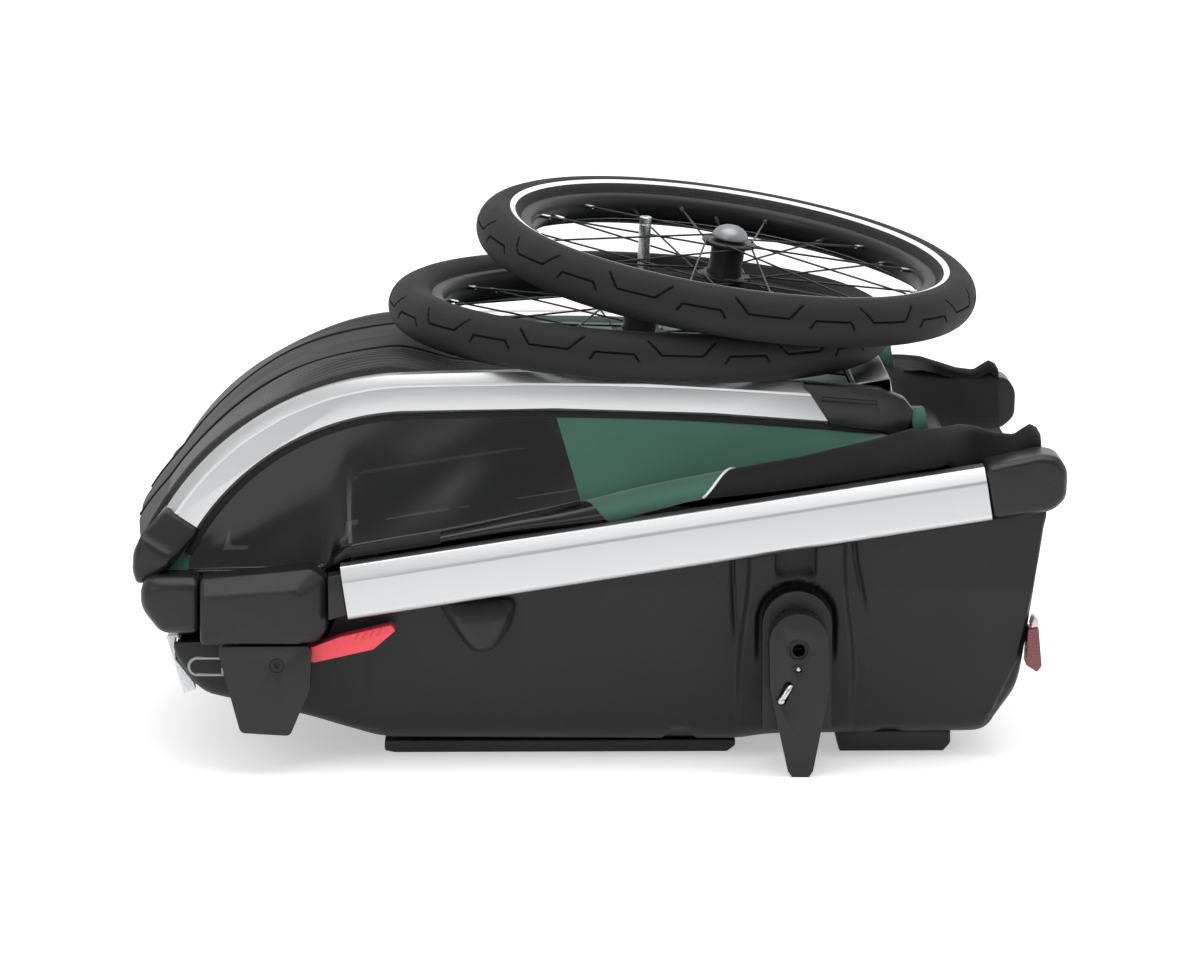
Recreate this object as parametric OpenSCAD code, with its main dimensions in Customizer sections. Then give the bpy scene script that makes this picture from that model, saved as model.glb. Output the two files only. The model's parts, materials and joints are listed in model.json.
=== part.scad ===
// Child bicycle trailer, folded flat, with its two wheels taken off and laid on the roof.
// +X points to the rear, the drawbar end is -X, +Z is up and the ground is z = 0.

/* [Lower frame] */
// Width over the two lower side rails
lower_w = 620; // [540:10:760]
// Front end of the lower side rails
rail_front_x = -245; // [-260:1:-235]
// Run of a lower side rail along X
rail_run = 610; // [560:10:740]
// Rise of a lower side rail over its run
rail_rise = 94; // [85:1:105]
// Height of the rail's top edge at its front end
rail_front_z = 199; // [195:1:203]
// Height of the lower rail section
rail_h = 51; // [46:1:54]
// Width of the lower rail section
rail_t = 34; // [28:1:36]
// Wall of every aluminium section
rail_wall = 2.5; // [1.5:0.5:4]

/* [Tub] */
// Wall of the moulded tub
tub_wall = 3; // [2:0.5:5]
// Step from the rail's outer face to the tub wall under it
tub_step = 22; // [18:1:30]
// How far each tub wall leans in between its rim and its floor
tub_lean = 52; // [30:1:60]
// Underside of the tub floor above the ground
tub_floor_z = 13; // [10:1:16]

/* [Roof frame] */
// Step from a lower rail's outer face in to the roof rail's outer face
roof_step = 60; // [50:1:75]
// Height of the roof rail section
roof_h = 37; // [32:1:42]
// Width of the roof rail section
roof_t = 28; // [24:1:32]
// Highest point of the roof rails
roof_top_z = 377; // [372:1:385]
// Where along X the roof rails are highest
roof_crest_x = -64; // [-90:1:-40]
// Radius of the long, nearly flat part of a roof rail
roof_long_r = 3125; // [2600:25:4000]
// Radius of the front bend of a roof rail
roof_bend_r = 280; // [260:5:300]
// Rear end of the roof rails
roof_rear_x = 196; // [180:1:230]
// Radius of the roof's hinge pins
roof_pin_r = 5; // [4:0.5:6]

/* [Wheels] */
// Radius of the circle through the middle of the tyre
wheel_r = 225; // [180:5:235]
// Radius of the tyre's round section
tyre_r = 23.5; // [18:0.5:24]
// Number of spokes in a wheel
spoke_count = 24; // [16:4:32]
// Spoke diameter
spoke_d = 2; // [1.8:0.1:2.6]
// Radius of the push-in axle pin
axle_r = 6; // [5:0.25:7]
// Distance from the wheel's middle plane to the tip of its axle pin
axle_reach = 98; // [90:1:110]

/* [Wheel legs] */
// Centre of the axle bores along X
axle_x = 189; // [180:1:200]
// Height of the axle bores
axle_z = 122; // [115:1:126]
// Thickness of a wheel leg
leg_t = 34; // [28:1:36]
// How far a wheel leg stands outside the lower rail
leg_out = 20; // [16:1:26]
// Vertical travel of the wheel suspension
travel = 18; // [10:1:22]

/* [Coupling] */
// Thickness of a coupling leg
coupling_t = 40; // [34:1:44]
// Height of the drawbar socket in a coupling leg
socket_w = 26; // [20:1:30]

/* [Clearances] */
// Gap between pieces that lie against each other
seat_gap = 0.3; // [0.2:0.05:0.5]
// Radial clearance of a pin in its bore
pin_fit = 0.05; // [0.02:0.01:0.1]

/* [Hidden] */
$fn = 48;
LEFT = -1;
RIGHT = 1;

half_w = lower_w / 2;
rail_rear_x = rail_front_x + rail_run;
rail_tilt = atan(rail_rise / rail_run);
rail_len = rail_run / cos(rail_tilt);
rail_end_z = rail_front_z + rail_rise - rail_h * cos(rail_tilt);
tub_half = half_w - tub_step;
roof_half = half_w - roof_step;
leg_face = half_w + leg_out;

// Height of the lower rail's top edge at a given x
function rail_z(x) = rail_front_z + (x - rail_front_x) * rail_rise / rail_run;

// Slope of the roof rail where its long part meets the front bend
bend_x = -188;
bend_tilt = asin((roof_crest_x - bend_x) / roof_long_r);
roof_drop = asin((roof_rear_x - roof_crest_x) / roof_long_r);
long_centre_z = roof_top_z - roof_long_r;
bend_cx = bend_x + roof_bend_r * sin(bend_tilt);
bend_cz = long_centre_z + (roof_long_r - roof_bend_r) * cos(bend_tilt);
bend_end = 57;

// Height of the roof rail's top edge along its long part
function roof_z(x) = long_centre_z + sqrt(roof_long_r * roof_long_r - (x - roof_crest_x) * (x - roof_crest_x));

// Foot of the roof frame and its hinge
foot_x = -420;
foot_z = 200;
foot_r = 16;
foot_in = 12;

// Stays that hold the roof up: lower pivot, upper pivot and the bar length between them
stay_low = [140, 233];
stay_high = [120, 345];
stay_len = 254;
stay_t = 5;
stay_r = 9;
stay_pin_r = 4;
stay_gap = 1;
stay_span = norm(stay_high - stay_low);
stay_fold = acos(stay_span / 2 / stay_len);
stay_line = atan2(stay_high[1] - stay_low[1], stay_high[0] - stay_low[0]);
upper_stay_face = roof_half - roof_t - stay_gap;
lower_stay_face = upper_stay_face - stay_t - stay_gap;

// Roof fabric: drop below the rails' top edge and thickness
cover_drop = 8;
cover_t = 3;
panel_gap = 3;

// Wheel poses: centre, tilt about Y and tilt about X
lower_c = [45, 192.5 - roof_half, roof_top_z + 32];
lower_tilt = [2.9, 3.2];
upper_c = [129.5, 191 - roof_half, roof_top_z + 87.1];
upper_tilt = [8.6, 6.6];
hub_r = 19;
flange_r = 27;
flange_in = 17;
cap_reach = 40;
rim_w = 27;
rim_in = 194;
rim_out = wheel_r - 16;

/* ---------- helpers ---------- */

// Mirrors a left-hand piece to the right-hand side
module on_side(side) {
    mirror([0, side == RIGHT ? 1 : 0, 0]) children();
}

// Extrudes a side outline (x, z) inwards from the left-hand plane y = -face
module slab(face, thick) {
    translate([0, thick - face, 0])
        rotate([90, 0, 0])
            linear_extrude(height = thick) children();
}

// Round bar or bore along Y, from the left-hand plane y = -face inwards
module y_bar(x, z, r, face, thick) {
    translate([x, -face, z])
        rotate([-90, 0, 0])
            cylinder(r = r, h = thick);
}

// Rounds every corner of a side outline
module rounded(r) {
    offset(r = r, $fn = 20) offset(delta = -r) children();
}

// Section of a side rail: outer face at x = 0, bottom at y = 0, top outer edge bevelled
module rail_section(h, t, bevel, chamfer) {
    polygon([
        [chamfer, 0], [t - chamfer, 0], [t, chamfer], [t, h - chamfer], [t - chamfer, h],
        [bevel * 0.6, h], [0, h - bevel], [0, chamfer]
    ]);
}

// Hollow rail section with one extrusion line along its outer face
module hollow_section(h, t, bevel, chamfer, line) {
    difference() {
        rail_section(h, t, bevel, chamfer);
        translate([rail_wall, rail_wall])
            rail_section(h - 2 * rail_wall, t - 2 * rail_wall, bevel, chamfer);
        translate([-0.1, line]) square([0.9, 1.4]);
    }
}

/* ---------- tub and lower frame ---------- */

module tub_side() {
    rear = rail_rear_x;
    polygon([
        [-405, 120], [block_rear_x, 124.8], [rail_front_x - 6, rail_z(rail_front_x) - rail_h / cos(rail_tilt) - 2],
        [rear + rail_h * sin(rail_tilt), rail_end_z - 1], [rear + 62, rail_z(rear) - 44],
        [rear + 51, 163], [rear + 39, 86], [rear + 28, 52], [rear + 9, 24],
        [rear - 130, tub_floor_z + 9], [rear - 200, tub_floor_z + 8], [rear - 235, tub_floor_z],
        [-205, tub_floor_z + 5], [-277, 42], [-380, 67], [-405, 100]
    ]);
}

module tub_front() {
    floor_half = tub_half - tub_lean;
    polygon([
        [-tub_half, 300], [-tub_half + 8, 170], [-floor_half - 12, 48], [-floor_half, 22],
        [-floor_half + 22, tub_floor_z], [floor_half - 22, tub_floor_z],
        [floor_half, 22], [floor_half + 12, 48], [tub_half - 8, 170], [tub_half, 300]
    ]);
}

// Tub outline pulled in by an inset; an open one runs on past the rim
module tub_solid(inset, open) {
    intersection() {
        translate([0, tub_half + 10, 0])
            rotate([90, 0, 0])
                linear_extrude(height = 2 * tub_half + 20)
                    union() {
                        offset(delta = -inset) tub_side();
                        if (open)
                            translate([0, 40]) offset(delta = -inset - 0.5) tub_side();
                    }
        translate([-500, 0, 0])
            rotate([90, 0, 90])
                linear_extrude(height = 1100)
                    offset(delta = -inset) tub_front();
    }
}

housing_r = 33;
housing_face = leg_face - leg_t - seat_gap;
housing_depth = 24;
guide_top = 154;
tongue_top = guide_top - 17 - 2 * seat_gap - travel;
bay_back = housing_face - housing_depth - seat_gap;
boss_out = 8;
boss_w = 136;

// Raised boss of the tub wall on both sides of a wheel leg
module leg_boss(side) {
    middle = axle_x + 4;
    intersection() {
        on_side(side)
            slab(leg_face, leg_face - bay_back + 60)
                polygon([
                    [middle - boss_w * 0.42, 26], [middle + boss_w * 0.42, 26],
                    [middle + boss_w / 2, 203], [middle - boss_w / 2, 190]
                ]);
        tub_solid(-boss_out, false);
    }
}

// Hollow in that boss for the leg and its spring housing
module leg_bay(side) {
    on_side(side) {
        slab(leg_face, leg_face - bay_back)
            polygon([
                [axle_x - housing_r - 4, 8], [axle_x + housing_r + 4, 8],
                [axle_x + housing_r + 6, 176], [axle_x + housing_r - 4, 184],
                [axle_x - housing_r + 4, 184], [axle_x - housing_r - 6, 176]
            ]);
        slab(leg_face, leg_face - tub_half + 4)
            polygon([
                [axle_x - 20, 190], [axle_x + 20, 190], [axle_x + 20, 230], [axle_x - 20, 230]
            ]);
    }
}

module tub() {
    color([0.09, 0.09, 0.095])
    difference() {
        union() {
            difference() {
                tub_solid(0, false);
                tub_solid(tub_wall, true);
            }
            for (side = [LEFT, RIGHT])
                difference() {
                    leg_boss(side);
                    tub_solid(tub_wall + 0.01, true);
                }
            // backs of the two bays, inside the wall
            for (side = [LEFT, RIGHT])
                intersection() {
                    tub_solid(0, false);
                    on_side(side)
                        slab(tub_half, tub_half - bay_back + tub_wall)
                            polygon([
                                [axle_x - housing_r - 9, 100], [axle_x + housing_r + 9, 100],
                                [axle_x + housing_r + 9, 187], [axle_x - housing_r - 9, 187]
                            ]);
                }
        }
        leg_bay(LEFT);
        leg_bay(RIGHT);
    }
}

module floor_skids() {
    color([0.05, 0.05, 0.055])
    for (side = [LEFT, RIGHT]) {
        on_side(side) {
            slab(tub_half - tub_lean - 30, 46)
                polygon([
                    [rail_rear_x - 130, 0], [rail_rear_x - 29, 0], [rail_rear_x - 22, 8],
                    [rail_rear_x - 22, tub_floor_z + 8], [rail_rear_x - 135, tub_floor_z + 8]
                ]);
            slab(tub_half - tub_lean - 30, 46)
                polygon([
                    [-206, 2], [-196, 0], [126, 0], [134, 6], [134, tub_floor_z - 0.2], [-206, tub_floor_z - 0.2]
                ]);
        }
    }
}

module lower_rail(side) {
    color([0.78, 0.79, 0.8])
    on_side(side)
        translate([rail_front_x, -half_w, rail_front_z])
            rotate([0, -rail_tilt, 0])
                rotate([90, 0, 90])
                    linear_extrude(height = rail_len)
                        translate([0, -rail_h])
                            hollow_section(rail_h, rail_t, 15, 4, rail_h * 0.35);
}

block_rear_x = -257;
block_front_x = -378;

// Front end face of the lower rail at a given height
function neck_x(z) = rail_front_x + (rail_front_z - z) * tan(rail_tilt) - seat_gap;

module rail_necks() {
    color([0.07, 0.07, 0.075])
    for (side = [LEFT, RIGHT])
        on_side(side)
            slab(half_w - 3, rail_t - 6)
                polygon([
                    [block_rear_x + seat_gap, 190], [neck_x(192), 192],
                    [neck_x(153), 153], [block_rear_x + seat_gap, 148]
                ]);
}

module rear_cap(side) {
    rear = rail_rear_x;
    top = rail_z(rear);
    color([0.08, 0.08, 0.085])
    on_side(side)
        slab(half_w, rail_t + 26)
            polygon([
                [rear + seat_gap, top], [rear + 46, top + 28], [rear + 61, top + 26], [rear + 73, top + 13],
                [rear + 79, top - 10], [rear + 77, top - 36], [rear + 62, top - 43.5],
                [rear + seat_gap + rail_h * sin(rail_tilt), rail_end_z - 0.6]
            ]);
}

module front_block(side) {
    color([0.10, 0.10, 0.105])
    on_side(side)
        difference() {
            slab(half_w + 8, 56)
                rounded(5)
                    polygon([
                        [block_front_x, 186], [block_front_x + 16, 198], [block_rear_x - 5, 201], [block_rear_x, 186], [block_rear_x, 130],
                        [-290, 125.3], [block_front_x, 125.3]
                    ]);
            // ledge along the outer face
            slab(half_w + 9, 5)
                polygon([[-400, 164], [-276, 175], [-276, 230], [-400, 230]]);
        }
}

module front_bumper() {
    lug_face = roof_half + foot_in + 13.5;
    color([0.10, 0.10, 0.105])
    difference() {
        union() {
            slab(half_w - 10, lower_w - 20)
                polygon([
                    [-435, 176], [-428, 184], [block_front_x - seat_gap, 184],
                    [block_front_x - seat_gap, 130], [-416, 131], [-435, 156]
                ]);
            // ears that carry the roof's hinge pins
            for (side = [LEFT, RIGHT])
                on_side(side) {
                    y_bar(foot_x, foot_z, 11, lug_face, 12);
                    slab(lug_face, 12)
                        polygon([[foot_x - 11, 180], [foot_x + 11, 180], [foot_x + 11, foot_z], [foot_x - 11, foot_z]]);
                }
        }
        // hollow behind the front wall, between the feet
        slab(roof_half - roof_t - 6, 2 * (roof_half - roof_t - 6))
            polygon([[-420, 200], [-370, 200], [-370, 120], [-410, 120], [-426, 146], [-426, 168]]);
        for (side = [LEFT, RIGHT])
            on_side(side) {
                // room for the foot to swing in
                slab(roof_half + foot_in + 1, foot_in + roof_t + 2)
                    polygon([[-450, 167], [-385, 167], [-385, 240], [-450, 240]]);
                y_bar(foot_x, foot_z, roof_pin_r, lug_face + 1, 14);
            }
    }
}

lever_x = -281;
lever_z = 115;
wire_r = 1.6;
bail_x = -357;
bail_y = 14 - half_w;

module coupling_leg(side) {
    color([0.09, 0.09, 0.095])
    on_side(side)
        difference() {
            slab(half_w + 8, coupling_t)
                rounded(6)
                    polygon([
                        [-362, 125], [-272, 125], [-274, 84], [-293, 39], [-340, 42]
                    ]);
            // room on both sides of the bail's ear
            translate([bail_x - 6, bail_y - 6, 108]) cube([10, 12, 30]);
            translate([bail_x - 6, bail_y - 6, 60]) cube([10, 12, 37]);
            // drawbar socket, open at the bottom
            translate([-334, -half_w + 2, 30])
                cube([socket_w + 4, coupling_t - 16, 50]);
            y_bar(-305, 107, 7, half_w + 8, 4);
            y_bar(-305, 107, 4 + pin_fit, half_w + 9, coupling_t + 2);
            // pocket and pin bore of the release lever
            slab(half_w - 9.5, 23)
                polygon([[lever_x - 11, 101], [-268, 101], [-268, 130], [lever_x - 11, 130]]);
            y_bar(lever_x, lever_z, 2.5, half_w - 3, 35);
            // ear bore of the wire bail
            translate([bail_x, bail_y, 60]) cylinder(r = wire_r + pin_fit, h = 60);
        }
}

module coupling_bolts() {
    color([0.12, 0.12, 0.125])
    for (side = [LEFT, RIGHT])
        on_side(side)
            difference() {
                union() {
                    y_bar(-305, 107, 6.6, half_w + 7.5, 3.4);
                    y_bar(-305, 107, 4, half_w + 7, coupling_t - 2);
                }
                y_bar(-305, 107, 3, half_w + 8, 2.6, $fn = 6);
            }
    for (side = [LEFT, RIGHT])
        on_side(side) y_bar(lever_x, lever_z, 2.5, half_w - 4, 33);
}

module lower_cross_tubes() {
    span = half_w - rail_t - seat_gap;
    color([0.12, 0.12, 0.13])
    for (x = [-225, rail_rear_x - 20])
        translate([x, -span, rail_z(x) - rail_h / 2])
            rotate([-90, 0, 0])
                difference() {
                    cylinder(r = 14, h = 2 * span);
                    translate([0, 0, -1]) cylinder(r = 11.5, h = 2 * span + 2);
                }
}

module suspension_housings() {
    color([0.07, 0.07, 0.075])
    for (side = [LEFT, RIGHT])
        on_side(side)
            difference() {
                slab(housing_face, housing_depth)
                    union() {
                        translate([axle_x, axle_z + travel]) circle(r = housing_r);
                        translate([axle_x - housing_r, 40]) square([2 * housing_r, axle_z + travel - 40]);
                    }
                // guide that the leg's tongue runs in
                translate([axle_x - 15 - seat_gap, -housing_face - 1, 50])
                    cube([30 + 2 * seat_gap, 15, guide_top - 50]);
            }
}

module suspension_buffers() {
    color([0.16, 0.16, 0.16])
    for (side = [LEFT, RIGHT])
        on_side(side)
            y_bar(axle_x, guide_top - 8 - seat_gap, 8, housing_face - 1, 13 - seat_gap);
}

module recess_covers() {
    color([0.06, 0.06, 0.065])
    for (side = [LEFT, RIGHT])
        on_side(side)
            difference() {
                slab(tub_half + 3, 36)
                    rounded(4)
                        polygon([[-156, 160], [-74, 165], [-92, 132], [-112, 114], [-132, 112]]);
                tub_solid(-seat_gap, true);
            }
}

module tail_lights() {
    rear = rail_rear_x;
    color([0.75, 0.06, 0.05])
    for (side = [LEFT, RIGHT])
        on_side(side)
            difference() {
                slab(tub_half - 14, 30)
                    rounded(2)
                        polygon([
                            [rear + 40, 134], [rear + 56, 134], [rear + 59, 92], [rear + 54, 84], [rear + 34, 84]
                        ]);
                tub_solid(-seat_gap, true);
            }
}

module front_reflectors() {
    color([0.85, 0.86, 0.87])
    for (side = [LEFT, RIGHT])
        on_side(side)
            difference() {
                slab(tub_half - 44, 40)
                    rounded(1.5)
                        polygon([[-414, 122], [-402, 124], [-386, 70], [-398, 66]]);
                tub_solid(-seat_gap, true);
            }
}

module pivot_pins() {
    color([0.7, 0.7, 0.72])
    for (side = [LEFT, RIGHT])
        on_side(side) {
            y_bar(foot_x, foot_z, roof_pin_r, roof_half + foot_in + 13.5, 2 * foot_in + roof_t + 4);
            // stay pins on their spacers
            y_bar(stay_low[0], stay_low[1], 7, half_w - rail_t - seat_gap, half_w - rail_t - 1 - lower_stay_face);
            y_bar(stay_low[0], stay_low[1], stay_pin_r, lower_stay_face + 1, stay_t + 2);
        }
}

/* ---------- soft parts in the tub ---------- */

seat_half = 200;
seat_z = tub_floor_z + tub_wall + 4.3;
seat_rear_x = 96;

module seat_base() {
    color([0.16, 0.17, 0.17])
    translate([-120, -seat_half, seat_z])
        cube([seat_rear_x + 120, 2 * seat_half, 46]);
}

module seat_back() {
    tube_x = rail_rear_x - 34 - seat_gap;
    color([0.16, 0.17, 0.17])
    slab(seat_half, 2 * seat_half)
        polygon([
            [seat_rear_x + seat_gap, 30], [seat_rear_x + 26, 30], [tube_x, 246],
            [tube_x, 266], [tube_x - 12, 268], [seat_rear_x + seat_gap, 56]
        ]);
}

module rear_panel() {
    rear = rail_rear_x;
    top = rail_z(rear);
    color([0.09, 0.09, 0.095])
    slab(tub_half - 62, 2 * tub_half - 124)
        polygon([
            [rear - 4, top - 8], [rear + 48, top + 4], [rear + 61, top - 2], [rear + 61, top - 43.3],
            [rear + 57, top - 43.7], [rear + 57, top - 8], [rear + 44, top - 3], [rear - 4, top - 14]
        ]);
}

/* ---------- levers, bails, legs ---------- */

module release_lever(side) {
    color([0.85, 0.18, 0.16])
    on_side(side)
        difference() {
            union() {
                slab(half_w - 10, 22)
                    rounded(1.5)
                        polygon([
                            [-272, 121], [-245, 131], [-197, 142], [-193, 137],
                            [-214, 119], [-254, 110], [-272, 106]
                        ]);
                y_bar(lever_x, lever_z, 8, half_w - 10, 22);
                slab(half_w - 10, 22)
                    polygon([[lever_x, 107], [-270, 107], [-270, 121], [lever_x, 122.9]]);
            }
            y_bar(lever_x, lever_z, 2.5 + pin_fit, half_w, 40);
            // grip serrations
            for (i = [0 : 3])
                translate([-226 + 7 * i, -half_w + 9.5, 137.5 + 1.3 * i])
                    rotate([0, 30, 0])
                        cube([1.6, 3, 20], center = true);
        }
}

module wire_bail(side) {
    top = 110.5;
    low = 94.5;
    reach = 24;
    loop_r = (top - low) / 2;
    color([0.75, 0.76, 0.78])
    on_side(side)
        translate([bail_x, bail_y, 0]) {
            translate([0, 0, 104]) cylinder(r = wire_r, h = top - 104);
            translate([0, 0, low]) cylinder(r = wire_r, h = 101 - low);
            for (z = [top, low]) {
                translate([0, 0, z]) sphere(r = wire_r);
                translate([0, 0, z]) rotate([0, -90, 0]) cylinder(r = wire_r, h = reach);
            }
            translate([-reach, 0, (top + low) / 2])
                rotate([90, 0, 0])
                    rotate([0, 0, 90])
                        rotate_extrude(angle = 180)
                            translate([loop_r, 0]) circle(r = wire_r);
        }
}

module wheel_leg(side) {
    color([0.09, 0.09, 0.095])
    on_side(side)
        difference() {
            union() {
                slab(leg_face, leg_t)
                    union() {
                        translate([axle_x, axle_z + 7]) circle(r = 28);
                        polygon([
                            [axle_x - 28, axle_z + 7], [axle_x + 28, axle_z + 7], [axle_x + 29, 84],
                            [axle_x + 14, 6], [axle_x + 10, 0], [axle_x - 6, 0], [axle_x - 10, 6],
                            [axle_x - 27, 84]
                        ]);
                    }
                // tongue that slides in the spring housing
                translate([axle_x - 15, -housing_face - seat_gap - 0.5, 70])
                    cube([30, 13, tongue_top - 70]);
            }
            y_bar(axle_x, axle_z, 9, leg_face + 1, leg_t + 2);
            y_bar(axle_x, 103, 3.5, leg_face + 1, 3);
            // curved slot of the brake pin
            hull() {
                y_bar(axle_x - 16, 74, 4.5, leg_face + 1, 20, $fn = 24);
                y_bar(axle_x - 10, 88, 4.5, leg_face + 1, 20, $fn = 24);
            }
        }
}

module axle_bush(side) {
    color([0.2, 0.2, 0.21])
    on_side(side)
        difference() {
            y_bar(axle_x, axle_z, 9, leg_face - 1, leg_t - 2);
            y_bar(axle_x, axle_z, axle_r + pin_fit, leg_face + 1, leg_t + 2);
        }
}

module brake_pin(side) {
    color([0.8, 0.8, 0.82])
    on_side(side) {
        y_bar(axle_x - 13, 81, 4.5 - seat_gap, leg_face + 6, 22);
        translate([axle_x - 17, -leg_face - 7, 73])
            rotate([0, 20, 0])
                cube([7, 3.5, 19]);
    }
}

/* ---------- roof frame ---------- */

module roof_arc(radius, cx, cz, from, sweep) {
    translate([cx, 0, cz])
        rotate([90, 0, 0])
            rotate([0, 0, from])
                rotate_extrude(angle = sweep, $fn = 96)
                    translate([radius - roof_h, roof_half])
                        rotate(-90)
                            hollow_section(roof_h, roof_t, 9, 3, roof_h * 0.66);
}

module roof_rail(side) {
    color([0.78, 0.79, 0.8])
    on_side(side)
        difference() {
            union() {
                roof_arc(roof_long_r, roof_crest_x, long_centre_z, 90 - roof_drop - 0.5, bend_tilt + roof_drop + 0.5);
                roof_arc(roof_bend_r, bend_cx, bend_cz, 90 + bend_tilt, bend_end - bend_tilt);
            }
            // slanted rear end
            slab(roof_half + 1, roof_t + 2)
                polygon([
                    [roof_rear_x, roof_top_z + 20], [roof_rear_x, roof_z(roof_rear_x)],
                    [roof_rear_x + 26, roof_z(roof_rear_x) - 40], [roof_rear_x + 60, roof_z(roof_rear_x) - 60],
                    [roof_rear_x + 60, roof_top_z + 20]
                ]);
            y_bar(stay_high[0], stay_high[1], stay_pin_r, roof_half - roof_t + rail_wall + 1, 6);
        }
}

module rail_foot(side) {
    tip_x = bend_cx - (roof_bend_r - roof_h / 2) * sin(bend_end);
    tip_z = bend_cz + (roof_bend_r - roof_h / 2) * cos(bend_end);
    color([0.07, 0.07, 0.075])
    on_side(side)
        difference() {
            union() {
                slab(roof_half, roof_t)
                    difference() {
                        polygon([
                            [tip_x - 17, tip_z + 9.5], [tip_x + 14.5, tip_z - 10.5], [-419, 180], [-433, 175],
                            [-444, 188], [-442, 207]
                        ]);
                    }
                y_bar(foot_x, foot_z, foot_r - 4, roof_half + foot_in, foot_in + roof_t);
            }
            y_bar(foot_x, foot_z, roof_pin_r + pin_fit, roof_half + 60, 120);
        }
}

module roof_end_cap(side) {
    x = roof_rear_x;
    top = roof_z(x);
    color([0.07, 0.07, 0.075])
    on_side(side)
        difference() {
            slab(roof_half + 1, roof_t + 2)
                polygon([
                    [x + 0.4, top], [x + 73, top - 6], [x + 97, top - 16], [x + 105, top - 26],
                    [x + 102, top - 40], [x + 88, top - 52], [x + 76, top - 46], [x + 26.4, top - 40.2]
                ]);
            slab(roof_half + 2, 3)
                polygon([[x + 18, top - 13], [x + 70, top - 17], [x + 70, top - 21], [x + 18, top - 17]]);
        }
}

tube_x = 265;
cross_span = roof_half - roof_t - 1 - seat_gap;
front_bar_r = 9;
front_bar_angle = 37;

module roof_cross_bars() {
    span = cross_span;
    reach = roof_bend_r - cover_drop - cover_t - front_bar_r - 1;
    color([0.78, 0.79, 0.8])
    translate([tube_x, -span, 357])
        rotate([0, -10, 0])
            rotate([-90, 0, 0])
                linear_extrude(height = 2 * span)
                    difference() {
                        square([34, 16], center = true);
                        square([34 - 2 * rail_wall, 16 - 2 * rail_wall], center = true);
                    }
    y_bar(bend_cx - reach * sin(front_bar_angle), bend_cz + reach * cos(front_bar_angle), front_bar_r,
        roof_half - roof_t - seat_gap, 2 * (roof_half - roof_t - seat_gap));
}

// Side outline of a strip that follows the roof rails, between two depths below their top edge
module under_roof(from_x, to_x, to_angle, upper, lower) {
    difference() {
        union() {
            intersection() {
                translate([roof_crest_x, long_centre_z]) circle(r = roof_long_r - upper, $fn = 720);
                translate([from_x, 150]) square([to_x - from_x, 260]);
            }
            intersection() {
                translate([bend_cx, bend_cz]) circle(r = roof_bend_r - upper, $fn = 120);
                polygon([
                    [bend_cx, bend_cz], [bend_x + 0.01, bend_cz], [bend_x + 0.01, bend_cz + 400],
                    [bend_cx - 600, bend_cz + 400],
                    [bend_cx - 600 * sin(to_angle), bend_cz + 600 * cos(to_angle)]
                ]);
            }
        }
        translate([roof_crest_x, long_centre_z])
            intersection() {
                circle(r = roof_long_r - lower, $fn = 720);
                translate([bend_x - roof_crest_x, 0]) square([800, roof_long_r]);
            }
        intersection() {
            translate([bend_cx, bend_cz]) circle(r = roof_bend_r - lower, $fn = 120);
            translate([bend_cx - 600, bend_cz - 10]) square([600 - bend_cx + bend_x, 600]);
        }
    }
}

// Roof fabric stretched between the roof rails, following their curve
module roof_cover() {
    color([0.10, 0.11, 0.11])
    slab(cross_span, 2 * cross_span)
        under_roof(bend_x, tube_x - 20, bend_end - 3, cover_drop, cover_drop + cover_t);
}

// Side fabric with its window, below a roof rail
module side_panel(side) {
    color([0.15, 0.25, 0.22])
    on_side(side)
        slab(roof_half - 8, 3)
            intersection() {
                under_roof(bend_x, roof_rear_x - 4, bend_end - 4, roof_h + 0.5, 400);
                polygon([
                    [-396, 208], [rail_front_x - 15, rail_z(rail_front_x) + 5], [rail_front_x, rail_z(rail_front_x) + panel_gap],
                    [roof_rear_x - 4, rail_z(roof_rear_x) + panel_gap], [roof_rear_x - 4, 400], [-420, 400]
                ]);
            }
}

/* ---------- stays ---------- */

// Flat bar from a pivot towards the elbow, turned by an angle in the side view
module stay_bar(pivot, angle, face) {
    translate([pivot[0], -face, pivot[1]])
        rotate([-90, 0, 0])
            rotate([0, 0, -angle])
                difference() {
                    union() {
                        translate([0, -6, 0]) cube([stay_len, 12, stay_t]);
                        cylinder(r = stay_r, h = stay_t);
                        translate([stay_len, 0, 0]) cylinder(r = stay_r, h = stay_t);
                    }
                    translate([0, 0, -1]) cylinder(r = stay_pin_r + pin_fit, h = stay_t + 2);
                }
}

module lower_stay(side) {
    color([0.6, 0.6, 0.62])
    on_side(side) stay_bar(stay_low, stay_line + stay_fold, lower_stay_face);
}

module upper_stay(side) {
    color([0.6, 0.6, 0.62])
    on_side(side) stay_bar(stay_high, stay_line + 180 - stay_fold, upper_stay_face);
}

module stay_pins() {
    color([0.7, 0.7, 0.72])
    for (side = [LEFT, RIGHT])
        on_side(side)
            y_bar(stay_high[0], stay_high[1], stay_pin_r, roof_half - roof_t + rail_wall, stay_t + stay_gap + rail_wall + 0.5);
}

/* ---------- wheels ---------- */

module place_wheel(centre, tilt, flip) {
    translate(centre)
        rotate([tilt[1], tilt[0], 0])
            rotate([flip ? 180 : 0, 0, 0]) children();
}

// Wheel pieces are drawn flat, with the axle pin pointing along +Z
module tyre() {
    rotate_extrude($fn = 96)
        difference() {
            union() {
                intersection() {
                    translate([wheel_r, 0]) circle(r = tyre_r);
                    translate([rim_out + 0.3, -40]) square([80, 80]);
                }
                translate([rim_out - 6, -11.2]) square([10, 22.4]);
            }
            intersection() {
                translate([wheel_r, 0]) circle(r = tyre_r - 4);
                translate([rim_out + 4, -40]) square([80, 80]);
            }
            translate([rim_out - 7, -8.4]) square([13, 16.8]);
        }
}

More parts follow.
